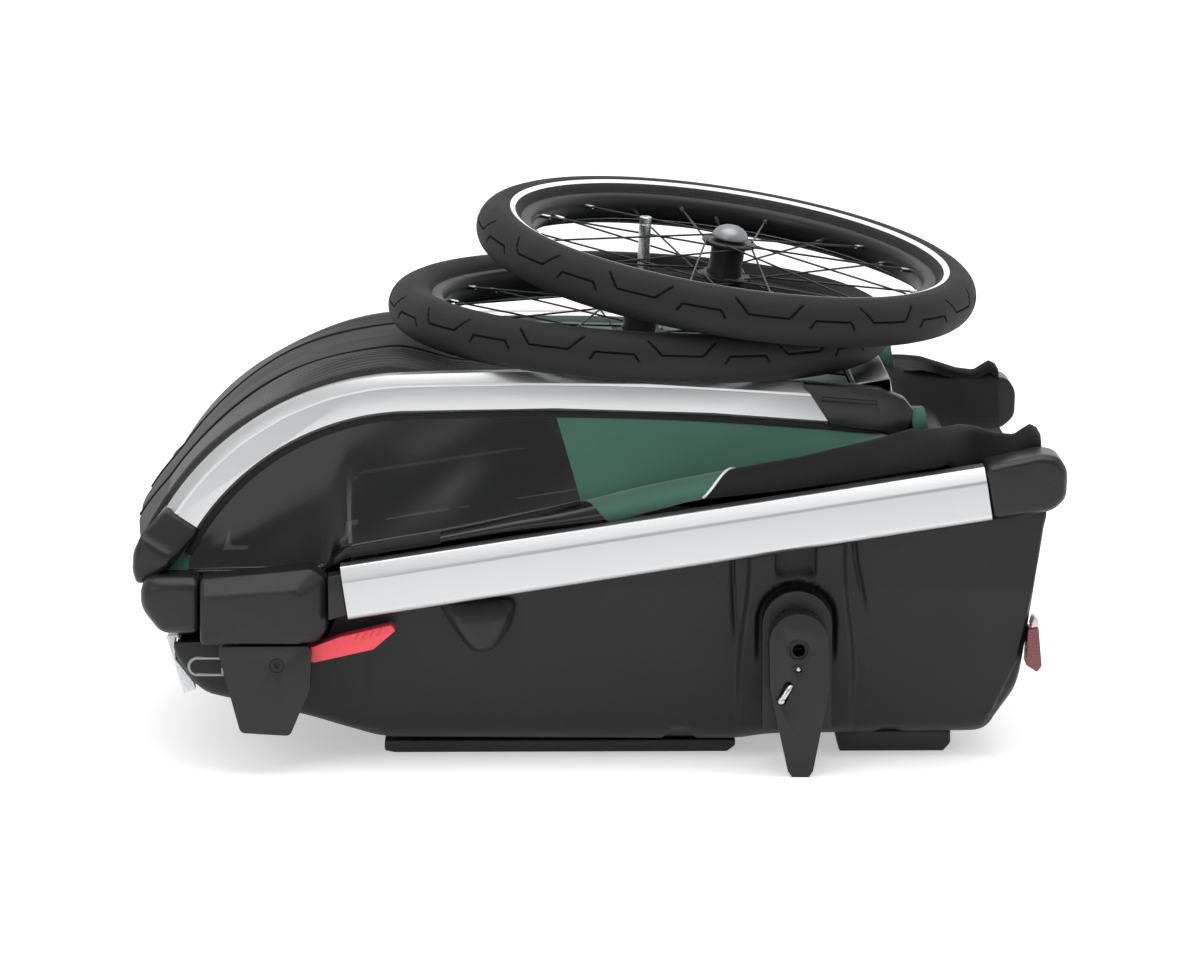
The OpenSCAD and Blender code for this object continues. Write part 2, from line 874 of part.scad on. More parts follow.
module rim() {
    w = rim_w / 2;
    rotate_extrude($fn = 96)
        difference() {
            polygon([
                [rim_in, -w + 5], [rim_in + 4, -w], [rim_out, -w], [rim_out, -w + 2], [rim_out - 6.3, -w + 2],
                [rim_out - 6.3, w - 2], [rim_out, w - 2], [rim_out, w], [rim_in + 4, w], [rim_in, w - 5]
            ]);
            polygon([
                [rim_in + 2, -w + 6], [rim_in + 5, -w + 3], [rim_out - 8.3, -w + 3],
                [rim_out - 8.3, w - 3], [rim_in + 5, w - 3], [rim_in + 2, w - 6]
            ]);
        }
}

// One spoke from a hub flange to the rim, leaning along the wheel and in towards its middle plane
module spoke(start, lead, plane) {
    a = [(flange_r - 3.5) * cos(start), (flange_r - 3.5) * sin(start), plane];
    b = [(rim_in + 1) * cos(start + lead), (rim_in + 1) * sin(start + lead), plane > 0 ? 3 : -3];
    d = b - a;
    length = norm(d);
    translate(a)
        rotate([0, acos(d[2] / length), atan2(d[1], d[0])])
            cylinder(r = spoke_d / 2, h = length, $fn = 16);
}

module spokes(turn) {
    pairs = spoke_count / 2;
    for (i = [0 : pairs - 1]) {
        lead = (i % 2 == 0) ? 62 : -62;
        spoke(turn + i * 360 / pairs, lead, flange_in + (i % 2 == 0 ? 1.9 : -1.9));
        spoke(turn + (i + 0.5) * 360 / pairs, lead, -flange_in + (i % 2 == 0 ? 1.9 : -1.9));
    }
}

module hub() {
    difference() {
        union() {
            translate([0, 0, -flange_in - 1.4]) cylinder(r = flange_r, h = 2.8);
            translate([0, 0, flange_in - 1.4]) cylinder(r = flange_r, h = 2.8);
            translate([0, 0, -25]) cylinder(r = hub_r, h = 50);
        }
        translate([0, 0, -30]) cylinder(r = axle_r + pin_fit, h = 70);
        translate([0, 0, -26]) cylinder(r = hub_r - 3, h = 6);
    }
}

module axle() {
    difference() {
        union() {
            translate([0, 0, -22]) cylinder(r = axle_r, h = axle_reach + 20);
            translate([0, 0, axle_reach - 2]) cylinder(r1 = axle_r, r2 = axle_r - 2, h = 2);
            translate([0, 0, 25.3]) cylinder(r = 9, h = 5);
        }
        translate([0, 0, axle_reach - 14])
            rotate([90, 0, 0])
                translate([0, 0, axle_r - 1.5]) cylinder(r = 1.8, h = 4);
    }
}

module hub_button() {
    rotate([180, 0, 0])
        rotate_extrude()
            difference() {
                polygon([
                    [0, 23], [hub_r - 3.3, 23], [hub_r - 3.3, 27.5], [hub_r + 2, 27.5], [hub_r + 1, cap_reach - 4],
                    [hub_r * 0.6, cap_reach - 0.6], [0, cap_reach]
                ]);
                square([axle_r + 2, 25]);
            }
}

module lower_tyre() {
    color([0.12, 0.12, 0.12]) place_wheel(lower_c, lower_tilt, false) tyre();
}

module lower_rim() {
    color([0.08, 0.08, 0.08]) place_wheel(lower_c, lower_tilt, false) rim();
}

module lower_spokes() {
    color([0.1, 0.1, 0.1]) place_wheel(lower_c, lower_tilt, false) spokes(4);
}

module lower_hub() {
    color([0.1, 0.1, 0.1]) place_wheel(lower_c, lower_tilt, false) hub();
}

module lower_axle() {
    color([0.75, 0.75, 0.76]) place_wheel(lower_c, lower_tilt, false) axle();
}

module lower_hub_button() {
    color([0.6, 0.6, 0.62]) place_wheel(lower_c, lower_tilt, false) hub_button();
}

module upper_tyre() {
    color([0.12, 0.12, 0.12]) place_wheel(upper_c, upper_tilt, true) tyre();
}

module upper_rim() {
    color([0.08, 0.08, 0.08]) place_wheel(upper_c, upper_tilt, true) rim();
}

module upper_spokes() {
    color([0.1, 0.1, 0.1]) place_wheel(upper_c, upper_tilt, true) spokes(0);
}

module upper_hub() {
    color([0.1, 0.1, 0.1]) place_wheel(upper_c, upper_tilt, true) hub();
}

module upper_axle() {
    color([0.75, 0.75, 0.76]) place_wheel(upper_c, upper_tilt, true) axle();
}

module upper_hub_button() {
    color([0.6, 0.6, 0.62]) place_wheel(upper_c, upper_tilt, true) hub_button();
}

/* ---------- nodes ---------- */

tub();
floor_skids();
lower_rail(LEFT);  // lower_rail_left
lower_rail(RIGHT);  // lower_rail_right
rail_necks();
rear_cap(LEFT);  // rear_cap_left
rear_cap(RIGHT);  // rear_cap_right
front_block(LEFT);  // front_block_left
front_block(RIGHT);  // front_block_right
front_bumper();
coupling_leg(LEFT);  // coupling_leg_left
coupling_leg(RIGHT);  // coupling_leg_right
coupling_bolts();
lower_cross_tubes();
suspension_housings();
suspension_buffers();
recess_covers();
tail_lights();
front_reflectors();
pivot_pins();
seat_base();
seat_back();
rear_panel();
release_lever(LEFT);  // release_lever_left
release_lever(RIGHT);  // release_lever_right
wire_bail(LEFT);  // wire_bail_left
wire_bail(RIGHT);  // wire_bail_right
wheel_leg(LEFT);  // wheel_leg_left
wheel_leg(RIGHT);  // wheel_leg_right
axle_bush(LEFT);  // axle_bush_left
axle_bush(RIGHT);  // axle_bush_right
brake_pin(LEFT);  // brake_pin_left
brake_pin(RIGHT);  // brake_pin_right
roof_rail(LEFT);  // roof_rail_left
roof_rail(RIGHT);  // roof_rail_right
rail_foot(LEFT);  // rail_foot_left
rail_foot(RIGHT);  // rail_foot_right
roof_end_cap(LEFT);  // roof_end_cap_left
roof_end_cap(RIGHT);  // roof_end_cap_right
roof_cross_bars();
stay_pins();
roof_cover();
side_panel(LEFT);  // side_panel_left
side_panel(RIGHT);  // side_panel_right
lower_stay(LEFT);  // lower_stay_left
lower_stay(RIGHT);  // lower_stay_right
upper_stay(LEFT);  // upper_stay_left
upper_stay(RIGHT);  // upper_stay_right
lower_tyre();
lower_rim();
lower_spokes();
lower_hub();
lower_axle();
lower_hub_button();
upper_tyre();
upper_rim();
upper_spokes();
upper_hub();
upper_axle();
upper_hub_button();
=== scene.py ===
# %% [markdown]
# # A child bicycle trailer, folded flat with its wheels on the roof
# The trailer is a moulded tub between two extruded aluminium rails, with a second pair of rails that
# carries the fabric roof. Folded, the roof frame lies down on the tub and both wheels rest on top of it.
# The imported CAD model is the frame of this scene: every piece here is placed in its coordinates, in
# metres, and most ride on one of its bodies, so the lesson is about surfaces and finishes, not about fitting.

# %% Load the frame
import json
import math
import bmesh
import bpy
import numpy as np
from mathutils import Matrix, Vector


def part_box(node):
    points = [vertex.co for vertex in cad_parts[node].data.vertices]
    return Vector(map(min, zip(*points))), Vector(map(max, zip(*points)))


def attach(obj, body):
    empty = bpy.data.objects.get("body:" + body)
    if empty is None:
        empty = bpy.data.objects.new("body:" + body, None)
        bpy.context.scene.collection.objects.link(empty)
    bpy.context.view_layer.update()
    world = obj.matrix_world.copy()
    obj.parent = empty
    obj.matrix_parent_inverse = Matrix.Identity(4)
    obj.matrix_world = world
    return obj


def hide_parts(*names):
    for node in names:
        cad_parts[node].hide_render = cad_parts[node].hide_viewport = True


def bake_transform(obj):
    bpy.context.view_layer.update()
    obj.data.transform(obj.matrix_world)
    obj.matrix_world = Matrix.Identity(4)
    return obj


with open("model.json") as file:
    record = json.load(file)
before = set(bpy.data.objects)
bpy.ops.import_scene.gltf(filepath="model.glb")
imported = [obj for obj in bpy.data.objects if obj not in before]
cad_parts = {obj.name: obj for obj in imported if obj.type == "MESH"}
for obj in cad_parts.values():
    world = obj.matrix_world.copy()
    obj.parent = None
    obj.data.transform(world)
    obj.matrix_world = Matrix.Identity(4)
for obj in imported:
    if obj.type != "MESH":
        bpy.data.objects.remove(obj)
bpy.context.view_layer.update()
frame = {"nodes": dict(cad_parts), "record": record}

MM = 0.001
BODY_OF = {node: body for body, nodes in frame["record"]["behaviour"]["bodies"].items() for node in nodes}
SLOT_OF = {part["node"]: part["material_slot"] for part in frame["record"]["subparts"]}
SIDES = {"left": -1, "right": 1}

# %% [markdown]
# ## Camera, light and floor
# A long lens from far away flattens the view as a catalogue view does. The trailer stands on a plain
# pale floor in a white room: two soft panels from above and the front, and a white world that the black
# plastic needs, because a dark glossy thing shows its shape only by what it mirrors.


# %% Camera
def put(name, data):
    """A new object in the scene, at the origin."""
    obj = bpy.data.objects.new(name, data)
    bpy.context.collection.objects.link(obj)
    return obj


FORWARD = Vector((0.015527, 0.988372, -0.151261)).normalized()
TARGET = Vector((0.006, 0.0, 0.2353))
DISTANCE = 5.6
LENS_MM = 168.0

camera = put("camera", bpy.data.cameras.new("camera"))
camera.location = TARGET - FORWARD * DISTANCE
camera.rotation_euler = FORWARD.to_track_quat("-Z", "Y").to_euler()
camera.data.lens = LENS_MM
camera.data.sensor_width = 36.0
camera.data.clip_end = 100.0
bpy.context.scene.camera = camera
bpy.context.scene.view_settings.view_transform = "Standard"
print("camera at", [round(c, 3) for c in camera.location])

# %% [markdown]
# ## Colours and nodes
# Shader sockets take linear light, but finishes are chosen on a screen, in sRGB hex, so one
# function turns the one into the other. A second function adds a node with its settings and links:
# every tree below, for a finish, the world or the spokes, is written with it.


# %% Colours and nodes
def linear(hex_colour):
    """An sRGB hex colour as the linear RGBA that shader sockets take."""
    parts = [int(hex_colour[i:i + 2], 16) / 255 for i in (1, 3, 5)]
    return tuple(c / 12.92 if c <= 0.04045 else ((c + 0.055) / 1.055) ** 2.4 for c in parts) + (1.0,)


def add(tree, kind, settings=None, links=None, **inputs):
    """Adds a node: settings are its properties, inputs its sockets by name, links its sockets by index."""
    node = tree.nodes.new(kind)
    for key, value in (settings or {}).items():
        setattr(node, key, value)
    wanted = {node.inputs[key.replace("_", " ")]: value for key, value in inputs.items()}
    wanted.update({node.inputs[index]: value for index, value in (links or {}).items()})
    for socket, value in wanted.items():
        if isinstance(value, bpy.types.NodeSocket):
            tree.links.new(value, socket)
        else:
            socket.default_value = value
    return node


# %% [markdown]
# ## Room
# The light comes from two soft panels and from the white room. The floor glows a little, so that it
# stays as pale as the room behind it without stronger lamps, which would bleach the rails.

# %% World, lights and floor
world = bpy.data.worlds.new("white_room")
world.use_nodes = True
background = world.node_tree.nodes["Background"]
background.inputs["Color"].default_value = (1, 1, 1, 1)
bpy.context.scene.world = world
# The half of the room behind the camera is dimmer, so that upright metal faces come out a soft grey.
facing = add(world.node_tree, "ShaderNodeTexCoord").outputs["Generated"]
depth = add(world.node_tree, "ShaderNodeSeparateXYZ", Vector=facing).outputs["Y"]
glow = add(world.node_tree, "ShaderNodeMapRange", None, {0: depth, 1: -0.95, 2: 0.25, 3: 0.5, 4: 1.05})
world.node_tree.links.new(glow.outputs["Result"], background.inputs["Strength"])


def soft_panel(name, place, aim, size, watts):
    """A square area light at a place, pointing at a spot."""
    lamp = bpy.data.lights.new(name, "AREA")
    lamp.size = size
    lamp.energy = watts
    holder = put(name, lamp)
    holder.location = place
    holder.rotation_euler = (Vector(aim) - Vector(place)).to_track_quat("-Z", "Y").to_euler()


soft_panel("top_panel", (0.2, -0.4, 3.0), (0, 0, 0.2), 2.6, 44)
soft_panel("front_panel", (-1.8, -3.4, 1.9), (0, 0, 0.25), 1.6, 18)

FLOOR_SIDE = 30.0
floor_mesh = bpy.data.meshes.new("floor")
half = FLOOR_SIDE / 2
floor_corners = [(-half, -half, 0), (half, -half, 0), (half, half, 0), (-half, half, 0)]
floor_mesh.from_pydata(floor_corners, [], [(0, 1, 2, 3)])
floor = put("floor", floor_mesh)
floor_finish = bpy.data.materials.new("pale_floor")
floor_finish.use_nodes = True
floor_shader = floor_finish.node_tree.nodes["Principled BSDF"]
floor_shader.inputs["Base Color"].default_value = linear("#f7f7f7")
floor_shader.inputs["Roughness"].default_value = 0.9
floor_shader.inputs["Emission Color"].default_value = (1, 1, 1, 1)
floor_shader.inputs["Emission Strength"].default_value = 0.42
floor_mesh.materials.append(floor_finish)
print("a white room,", len(bpy.data.lights), "soft panels and a floor", FLOOR_SIDE, "m wide")

# %% [markdown]
# ## Finishes
# Each finish starts from what the real one is. A moulded part has a spark-eroded grain about half a
# millimetre across; an extruded rail has fine lines along its length under a satin anodising; rubber is
# dull and slightly mottled; a woven cloth has a thread grid. Patterns finer than the render's own
# grain are drawn a little coarser, so that they still break up the light.


# %% Finish builder
def blank_finish(name):
    """A new material and its empty node tree."""
    material = bpy.data.materials.new(name)
    material.use_nodes = True
    material.node_tree.nodes.clear()
    return material, material.node_tree


def mottled(tree, patches, colour, mottle):
    """The colour, a little darker and a little lighter in patches."""
    base = linear(colour)
    dark = tuple(c * (1 - mottle) for c in base[:3]) + (1.0,)
    light = tuple(min(1.0, c * (1 + mottle)) for c in base[:3]) + (1.0,)
    return add(tree, "ShaderNodeMix", {"data_type": "RGBA"}, {0: patches, 6: dark, 7: light}).outputs[2]


def finish(name, colour, rough, grain_mm=0.0, bump=0.0, mottle=0.06, metallic=0.0, ior=1.5,
           stretch=(1, 1, 1), **sockets):
    """A procedural finish: a mottled colour, a varied roughness and a grain that lifts the surface."""
    material, tree = blank_finish(name)
    place = add(tree, "ShaderNodeTexCoord").outputs["Object"]
    spread = add(tree, "ShaderNodeMapping", Vector=place, Scale=stretch).outputs["Vector"]
    patches = add(tree, "ShaderNodeTexNoise", Vector=spread, Scale=14.0, Detail=3.0).outputs["Fac"]
    tint = mottled(tree, patches, colour, mottle)
    smoothest, roughest = max(0.02, rough - 0.05), min(1.0, rough + 0.05)
    dull = add(tree, "ShaderNodeMapRange", None, {0: patches, 1: 0.3, 2: 0.7, 3: smoothest, 4: roughest})
    shader = add(tree, "ShaderNodeBsdfPrincipled", Base_Color=tint, Roughness=dull.outputs["Result"],
                 Metallic=metallic)
    if metallic < 1.0:
        shader.inputs["IOR"].default_value = ior
    for key, value in sockets.items():
        shader.inputs[key.replace("_", " ")].default_value = value
    if grain_mm:
        fine = add(tree, "ShaderNodeTexNoise", Vector=spread, Scale=1.0 / (2 * grain_mm * MM), Detail=2.0)
        lift = add(tree, "ShaderNodeBump", Height=fine.outputs["Fac"], Strength=bump, Distance=grain_mm * MM)
        tree.links.new(lift.outputs["Normal"], shader.inputs["Normal"])
    add(tree, "ShaderNodeOutputMaterial", Surface=shader.outputs["BSDF"])
    return material


# %% [markdown]
# The black parts are four different blacks: the grained tub, the smoother nylon of the blocks, the
# dusty rubber of the tyres and the powder coat of the small steel. What sets them apart is not the
# colour but how dull they are and how coarse their grain is. The metals mirror the room instead.

# %% Plastics, metals and rubber
# Polypropylene tub, spark-eroded mould: dull, with a fine grain that scatters the highlights.
moulded_tub = finish("moulded_tub_plastic", "#1b1b1d", 0.5, grain_mm=1.4, bump=0.25, ior=1.36)
# Glass-filled nylon blocks and caps: smoother mould, so broader soft highlights.
satin_black = finish("satin_black_plastic", "#1b1b1d", 0.36, grain_mm=1.6, bump=0.12, ior=1.4)
# Satin anodised extrusion: brushed lines run along the rail and stretch the highlight across it.
satin_rail = finish("satin_anodised_rail", "#c3c4c5", 0.36, grain_mm=0.9, bump=0.05, mottle=0.02,
                    metallic=1.0, stretch=(0.04, 1, 1))
# Powder-coated steel: a fine orange peel, duller than nylon.
dark_coat = finish("black_powder_coat", "#18181a", 0.5, grain_mm=1.2, bump=0.15, ior=1.38)
# Bright zinc plating: a little yellow-grey and wavy, so its reflections break up.
zinc_steel = finish("zinc_plated_steel", "#c3c4c6", 0.24, grain_mm=1.5, bump=0.05, mottle=0.03, metallic=1.0)
# Turned and polished aluminium cap on each hub.
polished_cap = finish("polished_cap", "#8d9092", 0.42, mottle=0.02, metallic=1.0)
# Black anodised rim, worn to grey metal along the bead edge; black oxide on the spokes.
black_rim = finish("black_anodised_rim", "#141416", 0.4, grain_mm=1.0, bump=0.06, ior=1.4)
rim_edge = finish("worn_rim_edge", "#4c4d4f", 0.42, grain_mm=0.8, bump=0.05, metallic=0.8)
spoke_black = finish("black_spoke_steel", "#3a3a3c", 0.35, metallic=0.8)
# Natural rubber with carbon black: dull and dusty.
tyre_rubber = finish("tyre_rubber", "#1c1c1d", 0.7, grain_mm=1.5, bump=0.3, mottle=0.1, ior=1.34)
# Painted shade in the tread cuts: a nearly black finish stands for the shade that falls in them.
tyre_cut_shade = finish("tread_cut_painted_shade", "#0c0c0c", 0.85, grain_mm=1.5, bump=0.2, ior=1.2)
# Moulded rubber without gloss, and the grey foamed elastomer of the suspension buffers.
soft_rubber = finish("soft_rubber", "#19191a", 0.8, grain_mm=1.8, bump=0.25, mottle=0.1, ior=1.34)
elastomer = finish("spring_elastomer", "#4a4a4a", 0.7, grain_mm=2.0, bump=0.2)
# Coral-red nylon lever, satin from the mould.
coral_lever = finish("coral_red_nylon", "#e2434e", 0.42, grain_mm=1.2, bump=0.08, mottle=0.04)
# Reflective tape and piping: almost white, with a faint bead grain.
stripe_film = finish("reflective_stripe", "#eef0f1", 0.38, grain_mm=0.9, bump=0.06, mottle=0.02)
piping_white = finish("white_piping", "#e6e8e6", 0.5, grain_mm=0.8, bump=0.15, mottle=0.03)
print(len(bpy.data.materials), "finishes so far")


# %% [markdown]
# A reflector is a clear or red acrylic lens over a field of corner cubes about two millimetres across.
# A Voronoi pattern with flat cells gives each cube its own tilt, which makes the lens sparkle unevenly.


# %% Reflector lenses
def prism_lens(name, colour, cell_mm=2.4):
    """A glossy acrylic lens over a field of small prisms."""
    material = finish(name, colour, 0.12, mottle=0.05, ior=1.49, Coat_Weight=0.6, Coat_Roughness=0.05)
    tree = material.node_tree
    shader = tree.nodes["Principled BSDF"]
    place = add(tree, "ShaderNodeTexCoord").outputs["Object"]
    cells = add(tree, "ShaderNodeTexVoronoi", {"distance": "CHEBYCHEV"}, Vector=place,
                Scale=1.0 / (cell_mm * MM))
    lift = add(tree, "ShaderNodeBump", Height=cells.outputs["Distance"], Strength=0.7,
               Distance=cell_mm * MM * 0.5)
    tree.links.new(lift.outputs["Normal"], shader.inputs["Normal"])
    return material


red_lens = prism_lens("red_prism_lens", "#6a1d28")
clear_lens = prism_lens("clear_prism_lens", "#e4e6e8")
pink_lens = prism_lens("pale_lens_top", "#e3b4b8")
print("three lens finishes")


# %% [markdown]
# Polyester canvas is woven from yarns about half a millimetre apart. Two wave patterns, one along each
# thread direction of the cloth's own UV map, lift the surface; the map is in metres, so the weave keeps
# its size on every panel. A sheen stands for the loose fibres that catch light at grazing angles.


# %% Woven cloth
# A band texture repeats every 0.314 / Scale, so with this divisor a band is two threads wide.
BANDS_PER_SCALE = 6.283


def woven(name, colour, thread_mm, lift_height=0.5, sheen=0.25):
    """A plain weave on the piece's own UV map, whose unit is one metre."""
    material, tree = blank_finish(name)
    cloth_map = add(tree, "ShaderNodeUVMap", {"uv_map": "cloth"}).outputs["UV"]
    scale = 1.0 / (thread_mm * MM)
    waves = {}
    for index, direction in enumerate("XY"):
        settings = {"wave_type": "BANDS", "bands_direction": direction}
        wave = add(tree, "ShaderNodeTexWave", settings, Vector=cloth_map, Scale=scale / BANDS_PER_SCALE,
                   Distortion=0.4)
        waves[index] = wave.outputs["Fac"]
    threads = add(tree, "ShaderNodeMath", {"operation": "MULTIPLY"}, waves).outputs["Value"]
    place = add(tree, "ShaderNodeTexCoord").outputs["Object"]
    patches = add(tree, "ShaderNodeTexNoise", Vector=place, Scale=22.0, Detail=4.0).outputs["Fac"]
    tint = mottled(tree, patches, colour, 0.12)
    lift = add(tree, "ShaderNodeBump", Height=threads, Strength=lift_height, Distance=0.3 * MM)
    shader = add(tree, "ShaderNodeBsdfPrincipled", Base_Color=tint, Roughness=0.85, IOR=1.38,
                 Sheen_Weight=sheen, Sheen_Roughness=0.5, Normal=lift.outputs["Normal"])
    add(tree, "ShaderNodeOutputMaterial", Surface=shader.outputs["BSDF"])
    return material


black_canvas = woven("black_polyester_canvas", "#141415", 1.6, sheen=0.08)
green_canvas = woven("sage_green_polyester", "#3c6455", 1.6, sheen=0.35)
mesh_cloth = woven("pleated_black_mesh", "#1f1f20", 2.4, lift_height=0.9, sheen=0.15)
lining = woven("grey_seat_cloth", "#2b2f2f", 2.0, sheen=0.1)
# Smoke-tinted polyurethane window film: dark, see-through, glossy.
window_film = finish("tinted_window_film", "#0d0e0e", 0.2, mottle=0.05, ior=1.42, Alpha=0.98,
                     Coat_Weight=0.15, Coat_Roughness=0.08)
print("cloth and film ready;", len(bpy.data.materials), "finishes in all")

# %% [markdown]
# ## Mesh helpers
# Most pieces below are grids: a rule gives a point for each row and column, and neighbouring points are
# joined by quads. A grid can be closed round one or both ways, as a tyre is. Each piece is placed by its
# vertices, so its object stays at the origin, as the CAD nodes do.


# %% Grids and pieces
def grid_faces(rows, columns, round_rows=False, round_columns=False):
    """Quads of a grid whose points are numbered row by row."""
    r = np.arange(rows if round_rows else rows - 1)
    c = np.arange(columns if round_columns else columns - 1)
    first = (r[:, None] * columns + c[None, :]).ravel()
    right = (r[:, None] * columns + ((c + 1) % columns)[None, :]).ravel()
    up = (((r + 1) % rows)[:, None] * columns + c[None, :]).ravel()
    across = (((r + 1) % rows)[:, None] * columns + ((c + 1) % columns)[None, :]).ravel()
    return np.stack([first, right, across, up], 1)


def smooth(mesh, sharp=None):
    """Smooth shading, but faces that meet more sharply than an angle in degrees keep their edge."""
    mesh.polygons.foreach_set("use_smooth", np.ones(len(mesh.polygons), bool))
    if sharp is not None:
        mesh.set_sharp_from_angle(angle=math.radians(sharp))


def lay_cloth_map(mesh, uv):
    """Stores the map that a weave reads, one (u, v) in metres for each vertex."""
    corner = np.zeros(len(mesh.loops), np.int32)
    mesh.loops.foreach_get("vertex_index", corner)
    layer = mesh.uv_layers.new(name="cloth")
    layer.data.foreach_set("uv", np.asarray(uv, np.float32)[corner].ravel())


def new_piece(name, points, faces, finishes, which=None, uv=None, sharp=None):
    """A mesh object from points in millimetres. which picks a finish for each face, uv is in metres."""
    mesh = bpy.data.meshes.new(name)
    mesh.from_pydata((np.asarray(points, float) * MM).tolist(), [], [tuple(int(i) for i in f) for f in faces])
    for item in finishes if isinstance(finishes, (list, tuple)) else [finishes]:
        mesh.materials.append(item)
    if which is not None:
        mesh.polygons.foreach_set("material_index", np.asarray(which, np.int32))
    if uv is not None:
        lay_cloth_map(mesh, uv)
    smooth(mesh, sharp)
    mesh.validate()
    mesh.update()
    return put(name, mesh)


def applied(obj):
    """The object with its modifiers made into plain mesh."""
    bpy.context.view_layer.update()
    mesh = bpy.data.meshes.new_from_object(obj.evaluated_get(bpy.context.evaluated_depsgraph_get()))
    obj.modifiers.clear()
    obj.data = mesh
    return obj


def turned_out(obj):
    """Makes the faces of a closed mesh point outwards."""
    shape = bmesh.new()
    shape.from_mesh(obj.data)
    bmesh.ops.remove_doubles(shape, verts=shape.verts, dist=1e-6)
    bmesh.ops.recalc_face_normals(shape, faces=shape.faces)
    shape.to_mesh(obj.data)
    shape.free()
    return obj


def joined(name, parts):
    """Several meshes as one object."""
    shape = bmesh.new()
    finishes = []
    for part in parts:
        offset = len(shape.faces)
        for item in part.data.materials:
            if item not in finishes:
                finishes.append(item)
        slots = [finishes.index(item) for item in part.data.materials]
        shape.from_mesh(part.data)
        shape.faces.ensure_lookup_table()
        for face in shape.faces[offset:]:
            face.material_index = slots[min(face.material_index, len(slots) - 1)]
    mesh = bpy.data.meshes.new(name)
    for item in finishes:
        mesh.materials.append(item)
    shape.to_mesh(mesh)
    shape.free()
    for part in parts:
        bpy.data.objects.remove(part)
    return put(name, mesh)


def settle(obj, body, slot, *nodes):
    """A finished piece rides on a body and stands for CAD nodes; its slot argument is not used."""
    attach(obj, body)
    if nodes:
        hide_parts(*nodes)
    return obj


# %% [markdown]
# An outline is written with as few corners as the part has, and its roundings are a rule: each corner
# is replaced by a short curve. A line that cloth or piping follows is then walked at an even step.


# %% Rounded lines
def cut_corners(points, cut):
    """A polyline with each inner corner replaced by a curve of seven points."""
    points = np.asarray(points, float)
    path = [points[0]]
    for before, corner, after in zip(points[:-2], points[1:-1], points[2:]):
        into = min(cut, 0.45 * np.linalg.norm(corner - before))
        out = min(cut, 0.45 * np.linalg.norm(after - corner))
        start = corner + (before - corner) / np.linalg.norm(before - corner) * into
        end = corner + (after - corner) / np.linalg.norm(after - corner) * out
        for t in np.linspace(0, 1, 7):
            path.append((1 - t) ** 2 * start + 2 * t * (1 - t) * corner + t * t * end)
    path.append(points[-1])
    return np.array(path)


def rounded_line(points, cut, step):
    """A polyline with its corners cut by curves, resampled at an even step."""
    path = cut_corners(points, cut)
    run = np.concatenate([[0], np.cumsum(np.linalg.norm(np.diff(path, axis=0), axis=1))])
    even = np.linspace(0, run[-1], max(2, int(run[-1] / step) + 1))
    return np.stack([np.interp(even, run, path[:, i]) for i in range(path.shape[1])], 1)


# %% [markdown]
# ## Hard parts from the frame
# Blocks, caps, legs and levers already have their true shape in the CAD model, but a moulded or
# extruded part never has a knife edge. A copy of each is merged, its flat faces are cleaned of needless
# edges, and a bevel gives it the radius that its mould or die had; the highlight along that edge is
# what makes it read as a real thing. What is small or hidden keeps the CAD mesh and gets a finish.


# %% Soften hard parts
BEVEL_FROM = 28.0


def softened(node, radius_mm, look):
    """A copy of a CAD node with rounded edges, which stands for it."""
    obj = put(node + "_body", frame["nodes"][node].data.copy())
    shape = bmesh.new()
    shape.from_mesh(obj.data)
    bmesh.ops.remove_doubles(shape, verts=shape.verts, dist=2e-6)
    bmesh.ops.dissolve_limit(shape, angle_limit=math.radians(1.0), verts=shape.verts, edges=shape.edges)
    shape.to_mesh(obj.data)
    shape.free()
    obj.data.materials.clear()
    obj.data.materials.append(look)
    round_off = obj.modifiers.new("edge", "BEVEL")
    round_off.width = radius_mm * MM
    round_off.segments = 3
    round_off.limit_method = "ANGLE"
    round_off.angle_limit = math.radians(BEVEL_FROM)
    round_off.use_clamp_overlap = True
    applied(obj)
    smooth(obj.data, 35)
    return settle(obj, BODY_OF[node], SLOT_OF[node], node)


def lofted(name, loops, look, cut, edge):
    """A moulded block through outlines (y, corners (x, z)), with every corner and edge rounded."""
    rings = []
    for y, corners in loops:
        corners = np.asarray(corners, float)
        middle = (corners[0] + corners[1]) / 2
        ring = cut_corners([middle, *corners[1:], corners[0], middle], cut)[:-1]
        rings.append(np.stack([ring[:, 0], np.full(len(ring), float(y)), ring[:, 1]], 1))
    first, last = rings[0].mean(0), rings[-1].mean(0)
    lines = [cut_corners([first, *(ring[i] for ring in rings), last], edge) for i in range(len(rings[0]))]
    points = np.stack(lines, 1)
    faces = grid_faces(points.shape[0], points.shape[1], False, True)
    obj = turned_out(new_piece(name, points.reshape(-1, 3), faces, look))
    obj.data.set_sharp_from_angle(angle=math.radians(50))
    return obj


# %% [markdown]
# Two tables say what each part gets: the radius of its kind's edges, and the finish of its material
# slot. A kind comes as a left and a right part, so the loop makes both.

# %% Dress and soften by kind
EDGE_MM = {"coupling_leg": 3.0, "wheel_leg": 2.2, "roof_end_cap": 5.0, "release_lever": 1.6, "roof_rail": 1.2}
LOOK = {"tub_plastic": moulded_tub, "black_plastic": satin_black, "rubber_black": soft_rubber,
        "aluminium_satin": satin_rail, "dark_metal": dark_coat, "steel": zinc_steel, "chrome": polished_cap,
        "lever_red": coral_lever, "lamp_red": red_lens, "reflector_clear": clear_lens,
        "fabric_black": black_canvas, "fabric_green": green_canvas, "tyre": tyre_rubber,
        "rim_black": black_rim, "buffer": elastomer}

